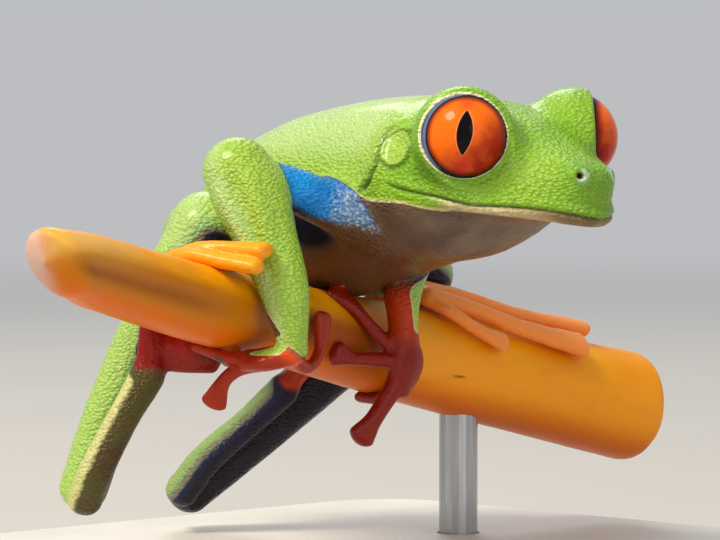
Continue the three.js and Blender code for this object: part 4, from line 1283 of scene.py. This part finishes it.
def stem_tree():
    """The tree that sweeps, ribs, smooths and finishes the stem."""
    tree = bpy.data.node_groups.new("flower_stem", "GeometryNodeTree")
    for name, kind, value in STEM_INPUTS:
        made = tree.interface.new_socket(name, in_out="INPUT", socket_type=f"NodeSocket{kind}")
        if value is not None:
            made.default_value = value
    tree.interface.new_socket("Geometry", in_out="OUTPUT", socket_type="NodeSocketGeometry")
    node = partial(add, tree)
    given = tree.nodes.new("NodeGroupInput").outputs
    line = node("GeometryNodeResampleCurve", {"Curve": given["Geometry"], "Count": given["Rings"]})
    ring = node("GeometryNodeCurvePrimitiveCircle", {"Resolution": given["Sides"], "Radius": 1.0})
    tube = node("GeometryNodeCurveToMesh", {"Curve": line, "Profile Curve": ring, "Fill Caps": True,
                                            "Scale": node("GeometryNodeInputRadius")})
    long_way = node("ShaderNodeVectorMath", {0: node("GeometryNodeInputPosition"), 1: (1.0, 0.08, 1.0)},
                    operation="MULTIPLY")
    ribs = node("noise", long_way, node("DIVIDE", 1.0, given["Rib Spacing"]), 2.0)
    height = node("MULTIPLY", node("SUBTRACT", ribs, 0.5), given["Rib Height"])
    lift = node("ShaderNodeVectorMath", {0: node("GeometryNodeInputNormal"), "Scale": height},
                operation="SCALE")
    ribbed = node("GeometryNodeSetPosition", {"Geometry": tube, "Offset": lift})
    real = node("GeometryNodeRealizeInstances", {"Geometry": ribbed})
    smooth = node("GeometryNodeSetShadeSmooth", {0: real})
    done = node("GeometryNodeSetMaterial", {"Geometry": smooth, "Material": given["Finish"]})
    fill(tree.nodes.new("NodeGroupOutput"), {0: done})
    return tree


STEM_TREE = stem_tree()
print("stem tree", len(STEM_TREE.nodes), "nodes")

# %% Waxy stem finish
STEM_MARKS = ("furrow", "top_highlight", "cut_edge")


def fleshy_stem():
    """Waxy orange-yellow plant stem: smooth, slightly translucent, with faint lengthwise fibres. Its
    colour carries painted light and shade: lighter on top, a redder orange below, darker sides with a
    painted shadow where the frog sits, brighter towards the thick end, a painted highlight along the
    top of the thin end and painted shade in the furrow.
    """
    made, node, shader = finish_of("waxy_flower_stem")
    furrow, top_highlight, cut = [node("measure", attribute_name=name) for name in STEM_MARKS]
    spot = node("place")
    stretched = node("stretch", spot, (1.0, 0.06, 0.35))
    fibre = node("noise", stretched, PER_MM / 0.5, 4.0)
    cloud = node("noise", spot, PER_MM / 9.0, 3.0)
    scars = node("cells", stretched, PER_MM / 2.6)
    facing = node("ShaderNodeNewGeometry", out="Normal")
    facing_up = node("ShaderNodeSeparateXYZ", {0: facing}, out="Z")
    length = node("ShaderNodeSeparateXYZ", {0: spot}, out="Y")
    # Painted light and shade on the stem's sides: darker where the frog sits over it, brighter towards
    # the thick end.
    side = coats(node, "#cd7a04",
                 (node("fade", length, -12 * MM, -6 * MM), "#a34a06"),
                 (node("fade", length, -2 * MM, 5 * MM), "#ffa420"))
    # Painted light and shade: the top keeps the lighter colour, and the sides and the underside are
    # painted darker.
    base = coats(node, "#f8aa06",
                 (node("fade", cloud, 0.35, 0.65), "#ee9604"),
                 (node("fade", facing_up, 0.6, 0.0), side),
                 (node("fade", facing_up, -0.3, -0.9), "#e06c02"),
                 # Painted shade in the furrow.
                 (node("MULTIPLY", furrow, 0.75), "#8f4a02"),
                 # Painted highlight: a pale band along the top of the thin end.
                 (node("MULTIPLY", top_highlight, 0.6), "#dcb860"),
                 (node("MULTIPLY", node("fade", fibre, 0.5, 0.8), 0.25), "#cf7c10"),
                 (node("MULTIPLY", node("fade", scars, 0.035, 0.015), 0.8), "#6b3a12"),
                 (node("MULTIPLY", cut, 0.8), "#d8c4bc"))
    fill(shader, {"Base Color": base, "Normal": node("bump", 0.3, 0.08 * MM, fibre),
                  "Roughness": node("MULTIPLY_ADD", cloud, 0.2, 0.28), "IOR": 1.42,
                  "Specular IOR Level": 0.25, "Subsurface Weight": 0.15,
                  "Subsurface Radius": (1.0, 0.5, 0.12), "Subsurface Scale": 1.2 * MM})
    return made


WAX = fleshy_stem()
print("stem finish", WAX.name)

# %% Line and shape of the stem
START_ROUND = 0.6  # how long each rounded end is, in radii
STOP_ROUND = 0.12
TIP_SLANT = 0.42  # the thin end is cut aslant by this share of its height
TIP_FROM = -32.5  # where along Y the slant starts
FURROW = 0.3  # millimetres deep, along the front of the thin end
CROWN = np.array([-8.3, -37.6, -7.0])  # top of the cut at the thin end


def stem_line():
    """The stem's path with a radius at each point, rounded in at both ends."""
    start = STEM_PATH[0][1]
    stop = STEM_PATH[-1][1]
    lead_in = START_ROUND * STEM_RADII[0]
    lead_out = STOP_ROUND * STEM_RADII[-1]
    ys = np.linspace(start - lead_in, stop + lead_out, 160)
    before = np.clip((start - ys) / lead_in, 0, 1)
    after = np.clip((ys - stop) / lead_out, 0, 1)
    radius = STEM_R(ys) * np.sqrt(np.clip(1 - before ** 2, 0.0, 1))
    radius *= np.sqrt(np.clip(1 - after ** 2, 0.5, 1))
    run = (STEM_X(start + 0.01) - STEM_X(start)) / 0.01
    x = np.where(ys < start, STEM_X(start) + (ys - start) * run * 0.5, STEM_X(ys))
    return np.stack([x, ys, STEM_Z(ys)], 1), np.maximum(radius, 0.05)


def shape_stem(mesh):
    """Press a furrow into the thin half, cut its end aslant, and note where each of them lies."""
    p = read_rows(mesh.vertices, "co", 3) * PER_MM - SHIFT
    x, y, z = p.T
    front = x - STEM_X(y)
    height = z - STEM_Z(y)
    turn = np.degrees(np.arctan2(height, front))
    furrow = bell(turn + 6, 16) * ramp(y, -15, -24) * ramp(y, -37.5, -35)
    shrink = 1 - FURROW * furrow / STEM_R(y)
    slant = TIP_SLANT * height * ramp(y, TIP_FROM, STEM_PATH[0][1])
    outward = read_rows(mesh.vertex_normals, "vector", 3)
    behind = ramp(outward @ unit([-1, -1, 0.15]), 0.3, 0.75) * ramp(y, -35.6, -36.9)
    pale_cut = np.maximum(blob(p, CROWN, width=0.9), 0.8 * behind)
    # The furrow, a painted highlight band along the top of the thin end, and the pale cut end.
    for name, values in zip(STEM_MARKS, (furrow, bell(turn - 42, 26) * ramp(y, -25, -33), pale_cut)):
        add_measure(mesh, name, values)
    turned = np.stack([STEM_X(y) + front * shrink, y - slant, STEM_Z(y) + height * shrink], 1)
    mesh.vertices.foreach_set("co", to_row(turned).ravel())
    mesh.update()


path, radii = stem_line()
print("stem radius", radii.max().round(2), "mm at most")

# %% Make the stem
curve = bpy.data.curves.new("stem_line", "CURVE")
curve.dimensions = "3D"
strand = curve.splines.new("POLY")
strand.points.add(len(path) - 1)
for point, at, r in zip(strand.points, to_row(path), radii):
    point.co = (*at, 1.0)
    point.radius = r * MM
source = new_object("stem_source", curve)
modifier = source.modifiers.new("sweep", "NODES")
modifier.node_group = STEM_TREE
for item in STEM_TREE.interface.items_tree:
    if item.in_out == "INPUT" and item.name == "Finish":
        modifier[item.identifier] = WAX
mesh = bpy.data.meshes.new_from_object(source.evaluated_get(bpy.context.evaluated_depsgraph_get()))
bpy.data.objects.remove(source)
shape_stem(mesh)
stem = new_object("flower_stem", mesh)
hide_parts("perch_stem")
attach(stem, "root")
print("stem", len(mesh.polygons), "faces", [m.name for m in mesh.materials])

# %% [markdown]
# ## Stand
# A museum stand is a flat base with a thin rod. The CAD solids already have the right shape, so
# they stay and only get a finish: powder-coated steel for the base, brushed steel for the rod.

# %% Stand finishes
def powder_coat():
    """A fine orange peel and a little dust."""
    made, node, shader = finish_of("powder_coated_steel")
    spot = node("place")
    peel = node("noise", spot, PER_MM / 0.6, 2.0)
    dust = node("fade", node("noise", spot, PER_MM / 14.0, 4.0), 0.35, 0.7)
    fill(shader, {"Base Color": coats(node, "#e4e2dc", (dust, "#d9d6ce")),
                  "Normal": node("bump", 0.25, 0.05 * MM, peel),
                  "Roughness": node("MULTIPLY_ADD", peel, 0.15, 0.4)})
    return made


def brushed_steel():
    """Scratches that run along the rod."""
    made, node, shader = finish_of("brushed_steel_rod")
    brush = node("noise", node("stretch", node("place"), (14.0, 14.0, 1.0)), PER_MM / 6.0, 4.0)
    fill(shader, {"Base Color": coats(node, "#b9bcc0", (node("fade", brush, 0.3, 0.75), "#a8acb1")),
                  "Normal": node("bump", 0.15, 0.02 * MM, brush),
                  "Roughness": node("MULTIPLY_ADD", brush, 0.2, 0.22), "Metallic": 1.0})
    return made


for name, finish in (("stand_base", powder_coat()), ("stand_rod", brushed_steel())):
    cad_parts[name].data.materials.clear()
    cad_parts[name].data.materials.append(finish)
    print(name, "gets", finish.name)

# %% [markdown]
# ## Floor, light and camera
# A pale floor and large soft lamps show the form without hard shadows. The lamps stand high on
# the left, where the sun is on the real animal, with a weak fill from the right. The camera
# looks at the frog's right eye from ahead and to its right, through a long lens.

# %% Floor
BACKDROP = "#e9ebee"
BACKDROP_LIGHT = 0.62
FLOOR_HALF = 3.0  # metres from the middle to a side


def floor_plane():
    """A matt floor that fades into the backdrop's own light further away."""
    mesh = bpy.data.meshes.new("floor")
    corners = [(i * FLOOR_HALF, j * FLOOR_HALF, 0) for i, j in ((-1, -1), (1, -1), (1, 1), (-1, 1))]
    mesh.from_pydata(corners, [], [(0, 1, 2, 3)])
    made, node, shader = finish_of("matt_studio_floor")
    spot = node("place")
    cloud = node("noise", spot, PER_MM / 25.0, 3.0)
    fill(shader, {"Base Color": coats(node, "#c8c6c2", (cloud, "#c3c0bb")), "Roughness": 0.8})
    away = node("ShaderNodeVectorMath", {0: spot}, out="Value", operation="LENGTH")
    glow = node("ShaderNodeEmission", {"Color": BACKDROP, "Strength": BACKDROP_LIGHT})
    both = node("ShaderNodeMixShader",
                {0: node("fade", away, 0.12, 0.9), 1: shader.outputs[0], 2: glow})
    fill(made.node_tree.nodes["Material Output"], {"Surface": both})
    mesh.materials.append(made)
    return mesh


floor = new_object("floor", floor_plane())
print("floor", 2 * FLOOR_HALF, "m wide")

# %% Light
AIM = np.array([0.0, 0.0, 0.03])
LAMPS = (("key_lamp", (-0.035, -0.32, 0.42), 0.2, 2.6, "#fff2dc"),
         ("rim_lamp", (-0.30, 0.25, 0.35), 0.2, 0.45, "#ffffff"),
         ("fill_lamp", (0.45, -0.10, 0.18), 0.35, 0.3, "#fff6ea"))
for name, place, size, watts, tint in LAMPS:
    data = bpy.data.lights.new(name, "AREA")
    data.shape = "DISK"
    data.size = size
    data.energy = watts
    data.color = linear(tint)[:3]
    lamp = new_object(name, data)
    lamp.location = place
    direction = AIM - np.array(place)
    yaw = math.atan2(direction[1], direction[0])
    pitch = math.acos(-direction[2] / np.linalg.norm(direction))
    lamp.rotation_euler = (pitch, 0, yaw - math.pi / 2)
world = bpy.data.worlds.new("studio")
world.use_nodes = True
fill(world.node_tree.nodes["Background"], {"Color": BACKDROP, "Strength": BACKDROP_LIGHT})
bpy.context.scene.world = world
bpy.context.scene.view_settings.view_transform = "Standard"

# %% Camera
lens = bpy.data.cameras.new("camera")
lens.lens = 184.6
lens.sensor_width = 36.0
lens.clip_start = 0.01
camera = new_object("camera", lens)
camera.location = (0.1928, -0.1950, 0.0345)
camera.rotation_euler = (math.radians(88), 0, math.radians(45))
bpy.context.scene.camera = camera
print("camera", tuple(round(c, 4) for c in camera.location))
